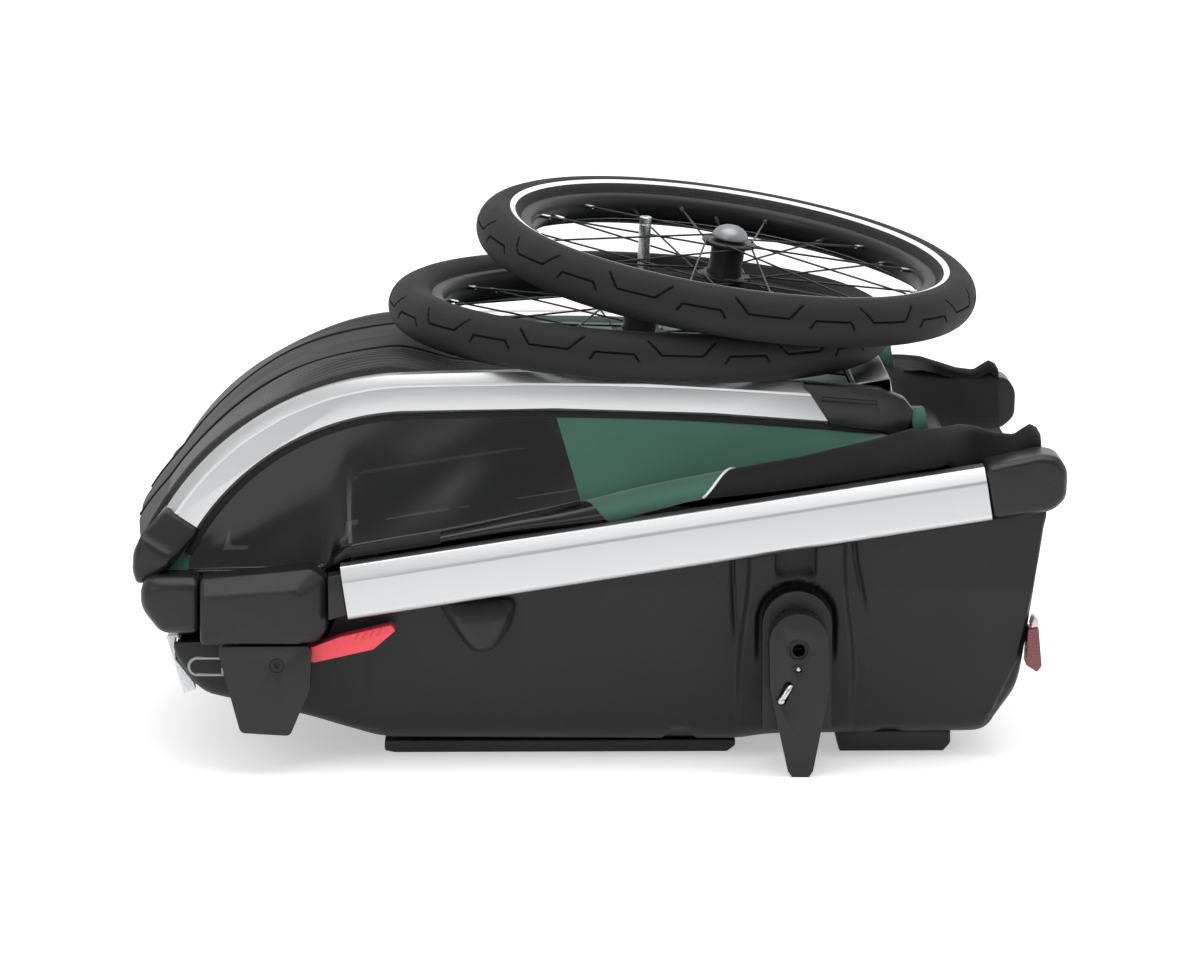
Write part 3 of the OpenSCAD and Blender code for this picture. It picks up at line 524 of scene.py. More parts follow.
for kind, radius in EDGE_MM.items():
    for side in SIDES:
        node = kind + "_" + side
        softened(node, radius, LOOK[SLOT_OF[node]])
softened("floor_skids", 2.0, satin_black)
softened("front_reflectors", 0.8, clear_lens)
softened("rail_necks", 1.5, satin_black)
softened("roof_cross_bars", 2.5, satin_rail)
print("softened", len(EDGE_MM) * 2 + 4, "hard parts")

# %% [markdown]
# ## Moulded blocks, caps and feet
# The nylon blocks taper and turn in ways that a bevel can't give. Each is lofted: two to four outlines,
# seen from the side, stand at their distances from the middle plane, and the skin between them is
# rounded along the outline's corners and along the edges where it closes. An outline lists the flat
# underside first and runs round the part, as (x, z) in millimetres.

# %% Lofted blocks
BLOCK_SIDE = [(-378, 126), (-266, 126), (-257, 138), (-257, 186), (-272, 197), (-378, 187)]
BLOCK = [(-262, BLOCK_SIDE), (-299, BLOCK_SIDE),
         (-318, [(-377, 127), (-282, 127), (-281, 138), (-282, 174), (-289, 178), (-377, 172)])]
FOOT = [(-412, 249), (-380, 228), (-405, 193), (-424, 178), (-441, 176), (-445, 190), (-443, 208)]
FOOT_BOSS = [(-436, 226), (-402, 206), (-408, 194), (-424, 180), (-440, 177), (-444, 190), (-443, 208)]
FOOT_FACE = [(-433, 220), (-408, 204), (-411, 195), (-425, 184), (-436, 181), (-440, 190), (-439, 206)]
BUMPER = [(-384, 133), (-379, 140), (-379, 188), (-428, 188), (-435, 178), (-435, 158), (-416, 133)]
BUMPER_END = [(-384, 139), (-380, 144), (-380, 180), (-424, 180), (-429, 172), (-429, 160), (-414, 139)]
BOWL = [(-154, 163), (-77, 165), (-82, 138), (-100, 114), (-119, 112), (-136, 132)]
BOWL_FACE = [(-137, 147), (-89, 151), (-93, 137), (-106, 123), (-117, 121), (-129, 134)]
REAR_CAP = [(373.3, 243.5), (430, 251), (443, 263), (444, 290), (436, 303), (420, 306), (365.6, 294)]
REAR_FACE = [(375, 247), (428, 255), (439, 265), (440, 289), (433, 298), (419, 301.5), (367, 290)]
REAR_SILL = [(363, 249.5), (424, 249.5), (425, 252), (421, 254), (366, 254)]
SILL = [(-226, REAR_SILL), (226, REAR_SILL)]
BUMPER_LOOPS = [(-300, BUMPER_END), (-291, BUMPER), (291, BUMPER), (300, BUMPER_END)]


def block(node, name, loops, cut, edge):
    """A lofted piece of satin black nylon that stands for a CAD node."""
    settle(lofted(name, loops, satin_black, cut, edge), BODY_OF[node], SLOT_OF[node], node)


bowls = []
for side, sign in SIDES.items():
    block("front_block_" + side, "front_block_body_" + side, [(-y * sign, line) for y, line in BLOCK], 5, 4)
    cap = [(251 * sign, REAR_CAP), (304 * sign, REAR_CAP), (310 * sign, REAR_FACE)]
    block("rear_cap_" + side, "rear_cap_body_" + side, cap, 7, 3)
    foot = [(222 * sign, FOOT), (251.5 * sign, FOOT), (270 * sign, FOOT_BOSS), (276.4 * sign, FOOT_FACE)]
    block("rail_foot_" + side, "rail_foot_body_" + side, foot, 5, 7)
    bowl = [(279 * sign, BOWL), (284 * sign, BOWL), (298 * sign, BOWL_FACE)]
    bowls.append(lofted("bowl", bowl, satin_black, 12, 7))
settle(joined("recess_cover_bodies", bowls), "root", SLOT_OF["recess_covers"], "recess_covers")
block("front_bumper", "front_bumper_body", BUMPER_LOOPS, 9, 6)
block("rear_panel", "rear_sill", SILL, 2, 2)

DARK_NODES = {"pivot_pins": dark_coat, "stay_pins": dark_coat}
for node, obj in frame["nodes"].items():
    if not obj.hide_render:
        obj.data.materials.clear()
        obj.data.materials.append(DARK_NODES.get(node, LOOK[SLOT_OF[node]]))
print("lofted the blocks and dressed the parts that keep their CAD mesh")

# %% [markdown]
# ## The moulded tub
# The real tub is one injection moulding with soft corners, a raised boss round each wheel leg, and
# creases where the boss fades into the wall. It could be carved from a block, but a wall with gentle
# features is easier as a rule: a grid follows the side outline, each point is pushed out to the wall's
# width at its height, and each feature adds its own few millimetres. Solidify then gives the wall.


# %% Tub outline and relief
TUB_WALL = 3.0
TUB_CORNER = 16.0
BELLY = [(-405, 112), (-402, 98), (-380, 67), (-277, 42), (-205, 18), (130, 13), (165, 21), (235, 22),
         (374, 24), (389, 48), (401, 66), (405.5, 82), (408, 100), (416, 163), (426, 240)]
RIM = [(-405, 120), (-257, 124.8), (-251, 145.4), (372.8, 241.6), (427, 249)]
WIDTH_AT = ([13, 16, 22, 34, 48, 90, 170, 300], [214, 226, 236, 243, 248, 261, 280, 288])
# The bay round each wheel leg: an arch about the leg's axis, cut back to a flat wall.
LEG_X, BAY_R, BAY_Z, BAY_Y = 189.0, 37.5, 142.0, 271.2
# Where the rear corner's ridge stands at each height.
RIDGE = ([24, 35, 97, 247], [366, 372.6, 399.6, 428])
BOSS_OUT, DART_DEEP, GROOVE_DEEP, NOTCH_DEEP, RIDGE_DEEP = 5.0, 4.5, 3.0, 9.0, 6.0
SLOT_FLOOR_Y = 281.0


def ease(x, start, end):
    """0 before start, 1 after end, smooth between."""
    t = np.clip((x - start) / (end - start), 0, 1)
    return t * t * (3 - 2 * t)


def tub_relief(x, z, y):
    """The wall's distance from the middle plane, with its boss, creases, slot and grooves."""
    fade = ease(z, 24, 110)
    left_edge = 138 + 9 * ease(z, 90, 200)
    right_edge = 241 - 10 * ease(z, 90, 200)
    boss = ease(x, left_edge - 7, left_edge) * (1 - ease(x, right_edge, right_edge + 7))
    y = y + (3 + BOSS_OUT * fade) * boss * ease(z, 20, 34)
    left_dart = 128 + 4 * (1 - ease(z, 110, 205))
    right_dart = 243 + 13 * (1 - ease(z, 130, 225))
    for crease, low in ((left_dart, 112), (right_dart, 136)):
        y = y - DART_DEEP * ease(z, low, low + 45) * np.exp(-np.abs((x - crease) / 2.0) ** 1.5)
    groove = ease(z, 62, 72) * (1 - ease(z, 104, 112))
    y = y - GROOVE_DEEP * groove * np.exp(-((x + 223) / 1.8) ** 2)
    slot = ease(x, 167.5, 169.5) * (1 - ease(x, 206, 208)) * ease(z, 187, 189)
    y = y - slot * np.maximum(0, y - SLOT_FLOOR_Y)
    lean = 0.6 * (z - 13)
    for start, end in ((60, 98), (262, 300)):
        notch = ease(x, start + lean, start + 3 + lean) * (1 - ease(x, end - 3 - lean, end - lean))
        y = y - NOTCH_DEEP * notch * (1 - ease(z, 28, 31))
    y = y - RIDGE_DEEP * ease(x - np.interp(z, *RIDGE), 0, 2.5) * ease(z, 26, 40)
    from_leg = np.hypot(x - LEG_X, np.maximum(0, z - BAY_Z))
    bay = 1 - ease(from_leg, BAY_R - 1.5, BAY_R + 1.5)
    return y - bay * np.maximum(0, y - BAY_Y)


print("belly outline of", len(BELLY), "corners,", round(BELLY[-1][0] - BELLY[0][0]), "mm long")

# %% [markdown]
# The grid's columns stand close together only where the wall has relief, round the boss, the darts and
# the rear ridge, so the creases stay crisp without a fine mesh everywhere.

# %% Tub columns
TUB_COLUMNS = 380
fine = rounded_line(BELLY, 14, 0.6)
fine_x = fine[:, 0]
dense = 1 + 3 * ease(fine_x, 96, 122) * (1 - ease(fine_x, 258, 276)) + 2 * ease(fine_x, 364, 370)
dense = dense + 2 * (ease(fine_x, 52, 58) * (1 - ease(fine_x, 100, 106)))
spread = np.cumsum(dense)
picked = np.interp(np.linspace(spread[0], spread[-1], TUB_COLUMNS), spread, np.arange(len(fine)))
belly = fine[np.round(picked).astype(int)]
top_x = np.clip(belly[:, 0], -405, 372)
behind = belly[:, 0] >= 372
rise = np.clip((belly[:, 1] - 24) / 216, 0, 1)
after_corner = np.arange(len(belly)) > len(belly) // 2
top_x = np.where(behind & after_corner, 372 + 54 * rise, top_x)
top_x = np.maximum.accumulate(top_x)
rim_z = np.interp(top_x, [p[0] for p in RIM], [p[1] for p in RIM])
rim_line = np.stack([top_x, rim_z], 1)
print(len(belly), "columns from", len(fine), "even steps")

# %% [markdown]
# From the floor's edge each column turns a quarter circle up into the wall and then runs straight to
# the rim. The same rows serve both sides, with the floor's own rows between them.

# %% Tub wall
CORNER_ROWS, WALL_ROWS = 6, 46
reach = np.linalg.norm(rim_line - belly, axis=1)
along = (rim_line - belly) / reach[:, None]
corner = np.minimum(TUB_CORNER, 0.8 * reach)
rows = []
for k in range(CORNER_ROWS + 1):
    turn = math.pi / 2 * k / CORNER_ROWS
    spot = belly + along * (corner * (1 - math.cos(turn)))[:, None]
    wide = np.interp(spot[:, 1], *WIDTH_AT) - corner * (1 - math.sin(turn))
    rows.append((spot, wide))
for k in range(1, WALL_ROWS + 1):
    spot = belly + along * (corner + (reach - corner) * k / WALL_ROWS)[:, None]
    rows.append((spot, np.interp(spot[:, 1], *WIDTH_AT)))

half_floor = rows[0][1]
FLOOR_COLUMNS = 15
columns = [np.stack([s[:, 0], -tub_relief(s[:, 0], s[:, 1], w), s[:, 1]], 1) for s, w in reversed(rows)]
for k in range(1, FLOOR_COLUMNS):
    y = -half_floor + 2 * half_floor * k / FLOOR_COLUMNS
    columns.append(np.stack([belly[:, 0], y, belly[:, 1]], 1))
columns += [np.stack([s[:, 0], tub_relief(s[:, 0], s[:, 1], w), s[:, 1]], 1) for s, w in rows]
tub_faces = grid_faces(len(columns), len(belly))[:, ::-1]
tub = new_piece("tub_shell", np.concatenate(columns), tub_faces, moulded_tub)
wall = tub.modifiers.new("wall", "SOLIDIFY")
wall.thickness = TUB_WALL * MM
wall.offset = -1.0
applied(tub)
turned_out(tub)
settle(tub, "root", "tub_plastic", "tub")
print("tub shell:", len(tub.data.polygons), "faces")

# %% [markdown]
# ## Tyres
# A tyre is a section swept round an axle. Its tread here is a pattern of thin cuts: a wide open
# trapezoid on one shoulder, a bracket on the other, turn about, twelve of each. A grid fine enough to
# carry a cut two millimetres wide keeps the cuts as real geometry, so they also catch light in profile.


# %% Wheel frames and tread
WHEEL_R, TYRE_R, RIM_IN, RIM_OUT, RIM_WIDE = 225.0, 23.5, 194.0, 209.0, 27.0
# Each wheel's centre, tilts about Y and X, the turn that puts its axle up or down, and its spokes' turn.
WHEELS = {"lower": ((45.0, -57.5, 409.0), (2.9, 3.2), 0, 4),
          "upper": ((129.5, -59.0, 464.1), (8.6, 6.6), 180, 0)}
STEPS_ROUND = 1176
CUT_DEPTH, CUT_HALF = 1.6, 1.3
PATTERNS_ROUND, PATTERN_MM = 12, 130.0
SHOULDER_CUT = [(-34, 21), (-20, 6), (20, 6), (34, 21)]
BRACKET_CUT = [(42, -1), (47, 6), (84, 6), (89, -1)]


def wheel_frame(name):
    """The matrix, in metres, that lays a wheel drawn flat in its place."""
    centre, tilt, flip, _ = WHEELS[name]
    return (Matrix.Translation(Vector(centre) * MM) @ Matrix.Rotation(math.radians(tilt[0]), 4, "Y")
            @ Matrix.Rotation(math.radians(tilt[1]), 4, "X") @ Matrix.Rotation(math.radians(flip), 4, "X"))


def segment_distance(p, q, a, b):
    """Distance of points (p, q) from a line piece a-b."""
    ab = np.array(b, float) - np.array(a, float)
    t = np.clip(((p - a[0]) * ab[0] + (q - a[1]) * ab[1]) / (ab @ ab), 0, 1)
    return np.hypot(p - a[0] - t * ab[0], q - a[1] - t * ab[1])


def tread_depth(u, v):
    """How deep the cuts are at u along the tread (one pattern long) and v across it, both in millimetres."""
    depth = np.zeros_like(u)
    for line in (SHOULDER_CUT, BRACKET_CUT):
        for a, b in zip(line[:-1], line[1:]):
            for shift in (-PATTERN_MM, 0.0, PATTERN_MM):
                near = segment_distance(u + shift, v, a, b)
                depth = np.maximum(depth, CUT_DEPTH * (1 - ease(near, CUT_HALF * 0.4, CUT_HALF)))
    return depth


print(PATTERNS_ROUND, "tread patterns round a tyre", round(2 * (WHEEL_R + TYRE_R)), "mm across")

# %% [markdown]
# The section has a fine step over the tread and a coarse one down the walls, and closes over the bead
# inside the rim. A small rib runs round the middle of each side wall.

# %% Tyres
BEAD_R, BEAD_HALF = RIM_OUT - 4.5, 10.9
bead = math.degrees(math.acos((RIM_OUT + 0.3 - WHEEL_R) / TYRE_R))
walls = np.linspace(72, bead, 12)
angles = np.radians(np.concatenate([-walls[::-1], np.linspace(-68, 68, 52), walls]))
rounds = np.arange(STEPS_ROUND) * 2 * math.pi / STEPS_ROUND
around, across = np.meshgrid(rounds, angles, indexing="ij")
pattern = (WHEEL_R + TYRE_R) * 2 * math.pi / PATTERNS_ROUND
turned = np.concatenate([around, around[:, :2]], 1)
for name, up in (("lower", 1), ("upper", -1)):
    u = ((up * around * (WHEEL_R + TYRE_R)) % pattern) - 0.27 * pattern
    cuts = tread_depth(u, up * across * TYRE_R)
    radius = TYRE_R - cuts + 0.5 * np.exp(-((np.abs(across) - 1.35) / 0.035) ** 2)
    bead_r, bead_z = (np.tile(ends, (STEPS_ROUND, 1)) for ends in ([BEAD_R, BEAD_R], [BEAD_HALF, -BEAD_HALF]))
    section_r = np.concatenate([WHEEL_R + radius * np.cos(across), bead_r], 1)
    section_z = np.concatenate([radius * np.sin(across), bead_z], 1)
    tyre_points = np.stack([section_r * np.cos(turned), section_r * np.sin(turned), section_z], -1)
    tyre_faces = grid_faces(STEPS_ROUND, section_r.shape[1], True, True)
    cuts = np.concatenate([cuts, np.zeros((STEPS_ROUND, 2))], 1).ravel()
    # Faces deep in a cut take the nearly black finish, which is the painted shade of the cuts.
    cut_shade_mask = (cuts[tyre_faces].mean(1) > 0.35 * CUT_DEPTH).astype(int)
    tyre = new_piece(name + "_tyre_tread", tyre_points.reshape(-1, 3), tyre_faces[:, ::-1],
                     [tyre_rubber, tyre_cut_shade], cut_shade_mask, sharp=60)
    tyre.data.transform(wheel_frame(name))
    settle(tyre, name + "_wheel", "tyre", name + "_tyre")
    print(tyre.name, len(tyre.data.polygons), "faces")

# %% [markdown]
# ## Rims, hubs, axles and the reflective ring
# All of these are turned or rolled parts, so each is a section spun round the axle. The rim's bead edge
# is polished by the braking and the tyre levers, so it takes a lighter finish than the black rim bed.
# The white ring is a reflective film fused to the outer sidewall only.


# %% Turned parts
def turned_part(name, wheel, section, look, steps=180, closed=True, sharp=40):
    """A section (radius, height) spun round the wheel's axle."""
    section = np.asarray(section, float)
    turn = np.arange(steps) * 2 * math.pi / steps
    r = np.repeat(section[None, :, 0], steps, 0)
    z = np.repeat(section[None, :, 1], steps, 0)
    t = np.repeat(turn[:, None], len(section), 1)
    points = np.stack([r * np.cos(t), r * np.sin(t), z], -1).reshape(-1, 3)
    obj = new_piece(name, points, grid_faces(steps, len(section), True, closed), look)
    turned_out(obj)
    obj.data.transform(wheel_frame(wheel))
    obj.data.set_sharp_from_angle(angle=math.radians(sharp))
    return obj


def mirrored_section(half):
    """A section given for z above 0, run on below it."""
    return half + [(r, -z) for r, z in reversed(half)]


w = RIM_WIDE / 2
RIM_BED = mirrored_section([(RIM_OUT - 6.3, w - 2.5), (RIM_OUT - 1.2, w - 2.5), (RIM_OUT - 1.2, w - 0.7),
                            (RIM_IN + 5, w - 0.4), (RIM_IN + 1.8, w - 2), (RIM_IN, w - 6), (RIM_IN - 0.8, 4)])
RIM_BEAD = [(RIM_OUT - 2.6, w - 0.7), (RIM_OUT - 2.4, w + 0.3), (RIM_OUT - 1.4, w + 1.1),
            (RIM_OUT + 0.2, w + 1.0), (RIM_OUT + 0.8, w + 0.1), (RIM_OUT + 0.3, w - 2.2),
            (RIM_OUT - 1.4, w - 2.6)]
FLANGE = [(26.2, 18.6), (27, 18), (27, 16), (26.2, 15.4), (17.6, 14.6), (16.6, 8)]
HUB_BODY = [(6.3, 24.6), (18.2, 24.6), (19, 23.8), (19, 19.2), *mirrored_section(FLANGE),
            (13.5, -19.2), (13.5, -23.2), (12, -23.8), (12, -20), (6.3, -20)]
CAP_DOME = [(0.02, -34.4), (4, -34.2), (8, -33.3), (12, -31.4), (15.4, -28.4), (17.4, -25),
            (17.8, -23.4), (17.8, -21.9), (14.2, -21.9), (14.2, -27.4), (0.02, -27.4)]
AXLE_PIN = [(0.02, -19.8), (5.9, -19.8), (6, -19.2), (6, 25.4), (8.6, 25.5), (9, 26), (9, 29.6), (8.5, 30.2),
            (6, 30.4), (6, 90), (5.6, 90.4), (5.6, 91.6), (6, 92), (6, 97), (5.3, 97.8), (2.4, 97.9),
            (2.2, 96.5), (0.02, 96.5)]
for name in WHEELS:
    bed = turned_part(name + "_rim_bed", name, RIM_BED, black_rim)
    lips = [turned_part("lip", name, [(r, z * side) for r, z in RIM_BEAD], rim_edge) for side in (1, -1)]
    settle(joined(name + "_rim_body", [bed] + lips), name + "_wheel", "rim_black", name + "_rim")
    settle(turned_part(name + "_hub_body", name, HUB_BODY, satin_black, 96), name + "_wheel",
           SLOT_OF[name + "_hub"], name + "_hub")
    settle(turned_part(name + "_hub_cap", name, CAP_DOME, polished_cap, 96), name + "_hub_button",
           SLOT_OF[name + "_hub_button"], name + "_hub_button")
    pin = turned_part(name + "_axle_pin", name, AXLE_PIN, zinc_steel, 64)
    settle(pin, name + "_axle", SLOT_OF[name + "_axle"], name + "_axle")

RING_FROM, RING_TO = 60.0, 74.0
RING_FACE, RING_BACK = TYRE_R + 0.25, TYRE_R - 0.4
out = np.radians(np.linspace(RING_FROM, RING_TO, 7))
ring_section = [(WHEEL_R - RING_FACE * math.cos(a), -RING_FACE * math.sin(a)) for a in out]
ring_section += [(WHEEL_R - RING_BACK * math.cos(a), -RING_BACK * math.sin(a)) for a in out[::-1]]
for name in WHEELS:
    ring = turned_part(name + "_reflective_ring", name, ring_section, stripe_film, 240)
    settle(ring, name + "_wheel", "reflector_clear")
print("rims, hubs, caps, axle pins and reflective rings turned")

# %% [markdown]
# ## Spokes and nipples by Geometry Nodes
# Twenty-four spokes leave the two hub flanges in turn and cross on their way to the rim. Where each
# starts and ends follows from its number alone, which is just what Geometry Nodes are good at: a ring
# of points is numbered, its points are moved to the flange, and a rod is set on each, pointed along its
# spoke and stretched to its length. The nipples are the same ring, moved to the rim instead.


# %% Spoke tree
# How far a spoke leads or trails round the wheel, and the heights at its flange and its nipple.
LEAD_DEGREES, FLANGE_Z, CROSSING_Z, NIPPLE_Z = 62.0, 17.0, 1.9, 3.0


def calc(tree, operation, a, b=0.0):
    """One step of arithmetic."""
    return add(tree, "ShaderNodeMath", {"operation": operation}, {0: a, 1: b}).outputs["Value"]


def spoke_tree(at_rim, look):
    """Rods from flange to rim, or nipples at the rim, for one wheel lying flat."""
    tree = bpy.data.node_groups.new("nipples" if at_rim else "spokes", "GeometryNodeTree")
    faces = tree.interface
    faces.new_socket("Count", in_out="INPUT", socket_type="NodeSocketInt")
    for label in ("Flange radius", "Rim radius", "Thickness", "Length", "Turn"):
        faces.new_socket(label, in_out="INPUT", socket_type="NodeSocketFloat")
    faces.new_socket("Geometry", in_out="OUTPUT", socket_type="NodeSocketGeometry")
    given = tree.nodes.new("NodeGroupInput").outputs
    number = add(tree, "GeometryNodeInputIndex").outputs["Index"]
    low_side = calc(tree, "MODULO", number, 2.0)
    pair = calc(tree, "FLOOR", calc(tree, "DIVIDE", number, 2.0))
    lead_sign = calc(tree, "SUBTRACT", 1.0, calc(tree, "MULTIPLY", 2.0, calc(tree, "MODULO", pair, 2.0)))
    side_sign = calc(tree, "SUBTRACT", 1.0, calc(tree, "MULTIPLY", 2.0, low_side))
    step = calc(tree, "DIVIDE", 4 * math.pi, given["Count"])
    start = calc(tree, "ADD", given["Turn"], calc(tree, "MULTIPLY", step, calc(
        tree, "ADD", pair, calc(tree, "MULTIPLY", 0.5, low_side))))
    end = calc(tree, "ADD", start, calc(tree, "MULTIPLY", lead_sign, math.radians(LEAD_DEGREES)))
    flange_z = calc(tree, "ADD", calc(tree, "MULTIPLY", side_sign, FLANGE_Z * MM),
                    calc(tree, "MULTIPLY", lead_sign, CROSSING_Z * MM))
    rim_z = calc(tree, "MULTIPLY", side_sign, NIPPLE_Z * MM)
    spots = []
    for angle, radius, height in ((start, given["Flange radius"], flange_z),
                                  (end, given["Rim radius"], rim_z)):
        spots.append(add(tree, "ShaderNodeCombineXYZ", None, {
            0: calc(tree, "MULTIPLY", calc(tree, "COSINE", angle), radius),
            1: calc(tree, "MULTIPLY", calc(tree, "SINE", angle), radius), 2: height}).outputs["Vector"])
    along = add(tree, "ShaderNodeVectorMath", {"operation": "SUBTRACT"}, {0: spots[1], 1: spots[0]})
    along = along.outputs["Vector"]
    length = add(tree, "ShaderNodeVectorMath", {"operation": "LENGTH"}, {0: along}).outputs["Value"]
    ring = add(tree, "GeometryNodeMeshCircle", Vertices=given["Count"], Radius=0.1).outputs["Mesh"]
    foot = spots[1] if at_rim else spots[0]
    placed = add(tree, "GeometryNodeSetPosition", Geometry=ring, Position=foot).outputs["Geometry"]
    rod = add(tree, "GeometryNodeMeshCylinder", Vertices=10, Radius=1.0, Depth=1.0).outputs["Mesh"]
    lift = -0.5 if at_rim else 0.5
    rod = add(tree, "GeometryNodeTransform", Geometry=rod, Translation=(0, 0, lift)).outputs["Geometry"]
    aim = add(tree, "FunctionNodeAlignRotationToVector", {"axis": "Z"}, Vector=along).outputs["Rotation"]
    tall = given["Length"] if at_rim else length
    size = add(tree, "ShaderNodeCombineXYZ", None, {0: given["Thickness"], 1: given["Thickness"], 2: tall})
    rods = add(tree, "GeometryNodeInstanceOnPoints", Points=placed, Instance=rod, Rotation=aim,
               Scale=size.outputs["Vector"]).outputs["Instances"]
    real = add(tree, "GeometryNodeRealizeInstances", Geometry=rods).outputs["Geometry"]
    dressed = add(tree, "GeometryNodeSetMaterial", Geometry=real, Material=look).outputs["Geometry"]
    dressed = add(tree, "GeometryNodeSetShadeSmooth", Geometry=dressed).outputs["Geometry"]
    output = tree.nodes.new("NodeGroupOutput")
    tree.links.new(dressed, output.inputs["Geometry"])
    return tree


def grown(name, tree, values):
    """The mesh that a Geometry Nodes tree makes from these named values."""
    obj = put(name, bpy.data.meshes.new(name))
    modifier = obj.modifiers.new("nodes", "NODES")
    modifier.node_group = tree
    for item in tree.interface.items_tree:
        if item.in_out == "INPUT" and item.name in values:
            modifier[item.identifier] = values[item.name]
    return applied(obj)


# %% [markdown]
# A modifier's inputs go by the socket's identifier, so a helper looks each one up by its name. The tree
# is grown twice for each wheel, as rods and as nipples, and the result is kept as plain mesh.

# %% Spokes and nipples
spokes = spoke_tree(False, spoke_black)
nipples = spoke_tree(True, zinc_steel)
for name, (_, _, _, turn) in WHEELS.items():
    sizes = {"Count": 24, "Flange radius": 23.5 * MM, "Rim radius": (RIM_IN + 1) * MM,
             "Turn": math.radians(turn)}
    parts = [grown("rods", spokes, dict(sizes, Thickness=1.0 * MM)),
             grown("nipples", nipples, dict(sizes, Thickness=2.1 * MM, Length=11 * MM))]
    set_of_spokes = joined(name + "_spoke_set", parts)
    set_of_spokes.data.transform(wheel_frame(name))
    set_of_spokes.data.set_sharp_from_angle(angle=math.radians(50))
    settle(set_of_spokes, name + "_wheel", SLOT_OF[name + "_spokes"], name + "_spokes")
    print(set_of_spokes.name, len(set_of_spokes.data.polygons), "faces")

# %% [markdown]
# ## The roof canopy
# The roof is one cloth stretched between the two curved rails: a plain band down the middle, pleated
# mesh on both sides of it in front, green canvas behind. A flat panel would look dead, so the sheet is
# a grid that follows the rails' own curve, stands a few millimetres proud in front, is pressed down
# under the wheels, and carries its pleats and slack as small waves.


# %% Roof line
# The rail's bend and its long flat arch, as centres and radii, with the height of its crest.
BEND_X, BEND_Z, BEND_R = -176.9, 94.8, 280.0
LONG_X, LONG_R, CREST_Z = -64.0, 3125.0, 377.0
LONG_Z = CREST_Z - LONG_R
BEND_TOP = 2.27
RAIL_IN = 221.5


def roof_line(drop, from_degrees, to_x, step):
    """Points (x, z) and outward directions along the rails, so far below their top edge."""
    count = int(BEND_R * math.radians(from_degrees - BEND_TOP) / step)
    turn = np.radians(np.linspace(from_degrees, BEND_TOP, count, endpoint=False))
    out = np.stack([-np.sin(turn), np.cos(turn)], 1)
    bend = np.array([BEND_X, BEND_Z]) + out * (BEND_R - drop)
    x = np.linspace(-188, to_x, int((to_x + 188) / step))
    slope = np.arcsin((x - LONG_X) / LONG_R)
    long_out = np.stack([np.sin(slope), np.cos(slope)], 1)
    long_part = np.array([LONG_X, LONG_Z]) + long_out * (LONG_R - drop)
    return np.concatenate([bend, long_part]), np.concatenate([out, long_out])


def area_of(obj):
    """The measured area of a sheet, in square metres."""
    return sum(face.area for face in obj.data.polygons)


print("the roof bends at x", BEND_X, "mm and crests at z", CREST_Z, "mm")

# %% [markdown]
# Each feature of the cloth is a height above the rails' line, and the heights are simply added: the
# lift in front, the pleats and slack, the dip of the seams, the crown, the full apron and the tuck
# under the rails. The finishes follow zones of the same grid.

# %% Canopy sheet
BAND_HALF, GREEN_FROM, APRON_FROM, APRON_DEGREES = 90.0, -75.0, -409.0, 66.0
line, out = roof_line(0, APRON_DEGREES, 246, 3.6)
run = np.concatenate([[0], np.cumsum(np.linalg.norm(np.diff(line, axis=0), axis=1))])
wide = np.linspace(-RAIL_IN, RAIL_IN, 149)
station_x = line[:, 0][:, None]
y = np.abs(wide)[None, :]
lift = 5.0 - 13.5 * ease(station_x, -200, -125)
side_zone = ease(y, BAND_HALF, BAND_HALF + 6) * (1 - ease(y, 210, 219))
in_front = (1 - ease(station_x, GREEN_FROM - 15, GREEN_FROM)) * ease(station_x, -330, -240)
pleats = 1.5 * np.sin(2 * math.pi * (y - BAND_HALF) / 15.0) * side_zone * in_front
pleats = pleats * (0.75 + 0.25 * np.sin(station_x / 31.0 + y / 17.0))
slack = 0.8 * np.sin(station_x / 24.0 + np.sin(y / 40.0) * 2.0) + 0.6 * np.sin(y / 33.0 - station_x / 57.0)
slack = slack * (1 - ease(station_x, -230, -150) * 0.6)
seam = -1.2 * np.exp(-((y - BAND_HALF - 2.5) / 2.0) ** 2)
crown = 4.0 * (1 - (y / RAIL_IN) ** 2) * (1 - ease(station_x, -200, -125))
apron = 10 * (1 - ease(station_x, -445, -405)) * (1 - (y / RAIL_IN) ** 4)
tuck = -7.0 * ease(y, 213, RAIL_IN)
height = lift + pleats + slack + seam + crown + apron + tuck
all_wide = np.repeat(wide[None, :], len(line), 0)
points = np.stack([line[:, :1] + out[:, :1] * height, all_wide, line[:, 1:] + out[:, 1:] * height], -1)
zone_rows = (line[:-1, 0] + line[1:, 0]) / 2
zone_columns = np.abs(wide[:-1] + wide[1:]) / 2
zones = np.where(zone_columns[None, :] < BAND_HALF, 0, np.where(zone_rows[:, None] < GREEN_FROM, 1, 2))
zones = np.where(zone_rows[:, None] < APRON_FROM, 0, zones)
cloth_map = np.stack([all_wide, np.repeat(run[:, None], len(wide), 1)], -1) * MM
canopy = new_piece("roof_canopy", points.reshape(-1, 3), grid_faces(len(line), len(wide))[:, ::-1],
                   [black_canvas, mesh_cloth, green_canvas], zones.ravel(), cloth_map.reshape(-1, 2))
settle(canopy, "roof", "fabric_black", "roof_cover")
print("canopy", round(area_of(canopy), 4), "m2 over", round(run[-1]), "mm")

# %% [markdown]
# ## Piping, keder and other strips
# The edges of sewn cloth are never bare: a round piping is sewn into the seams of the roof, and a
# black keder (a cord in a sleeve) slides into the groove under each roof rail and holds the side cloth.
# Both are one section carried along a line, so one sweep makes them all.


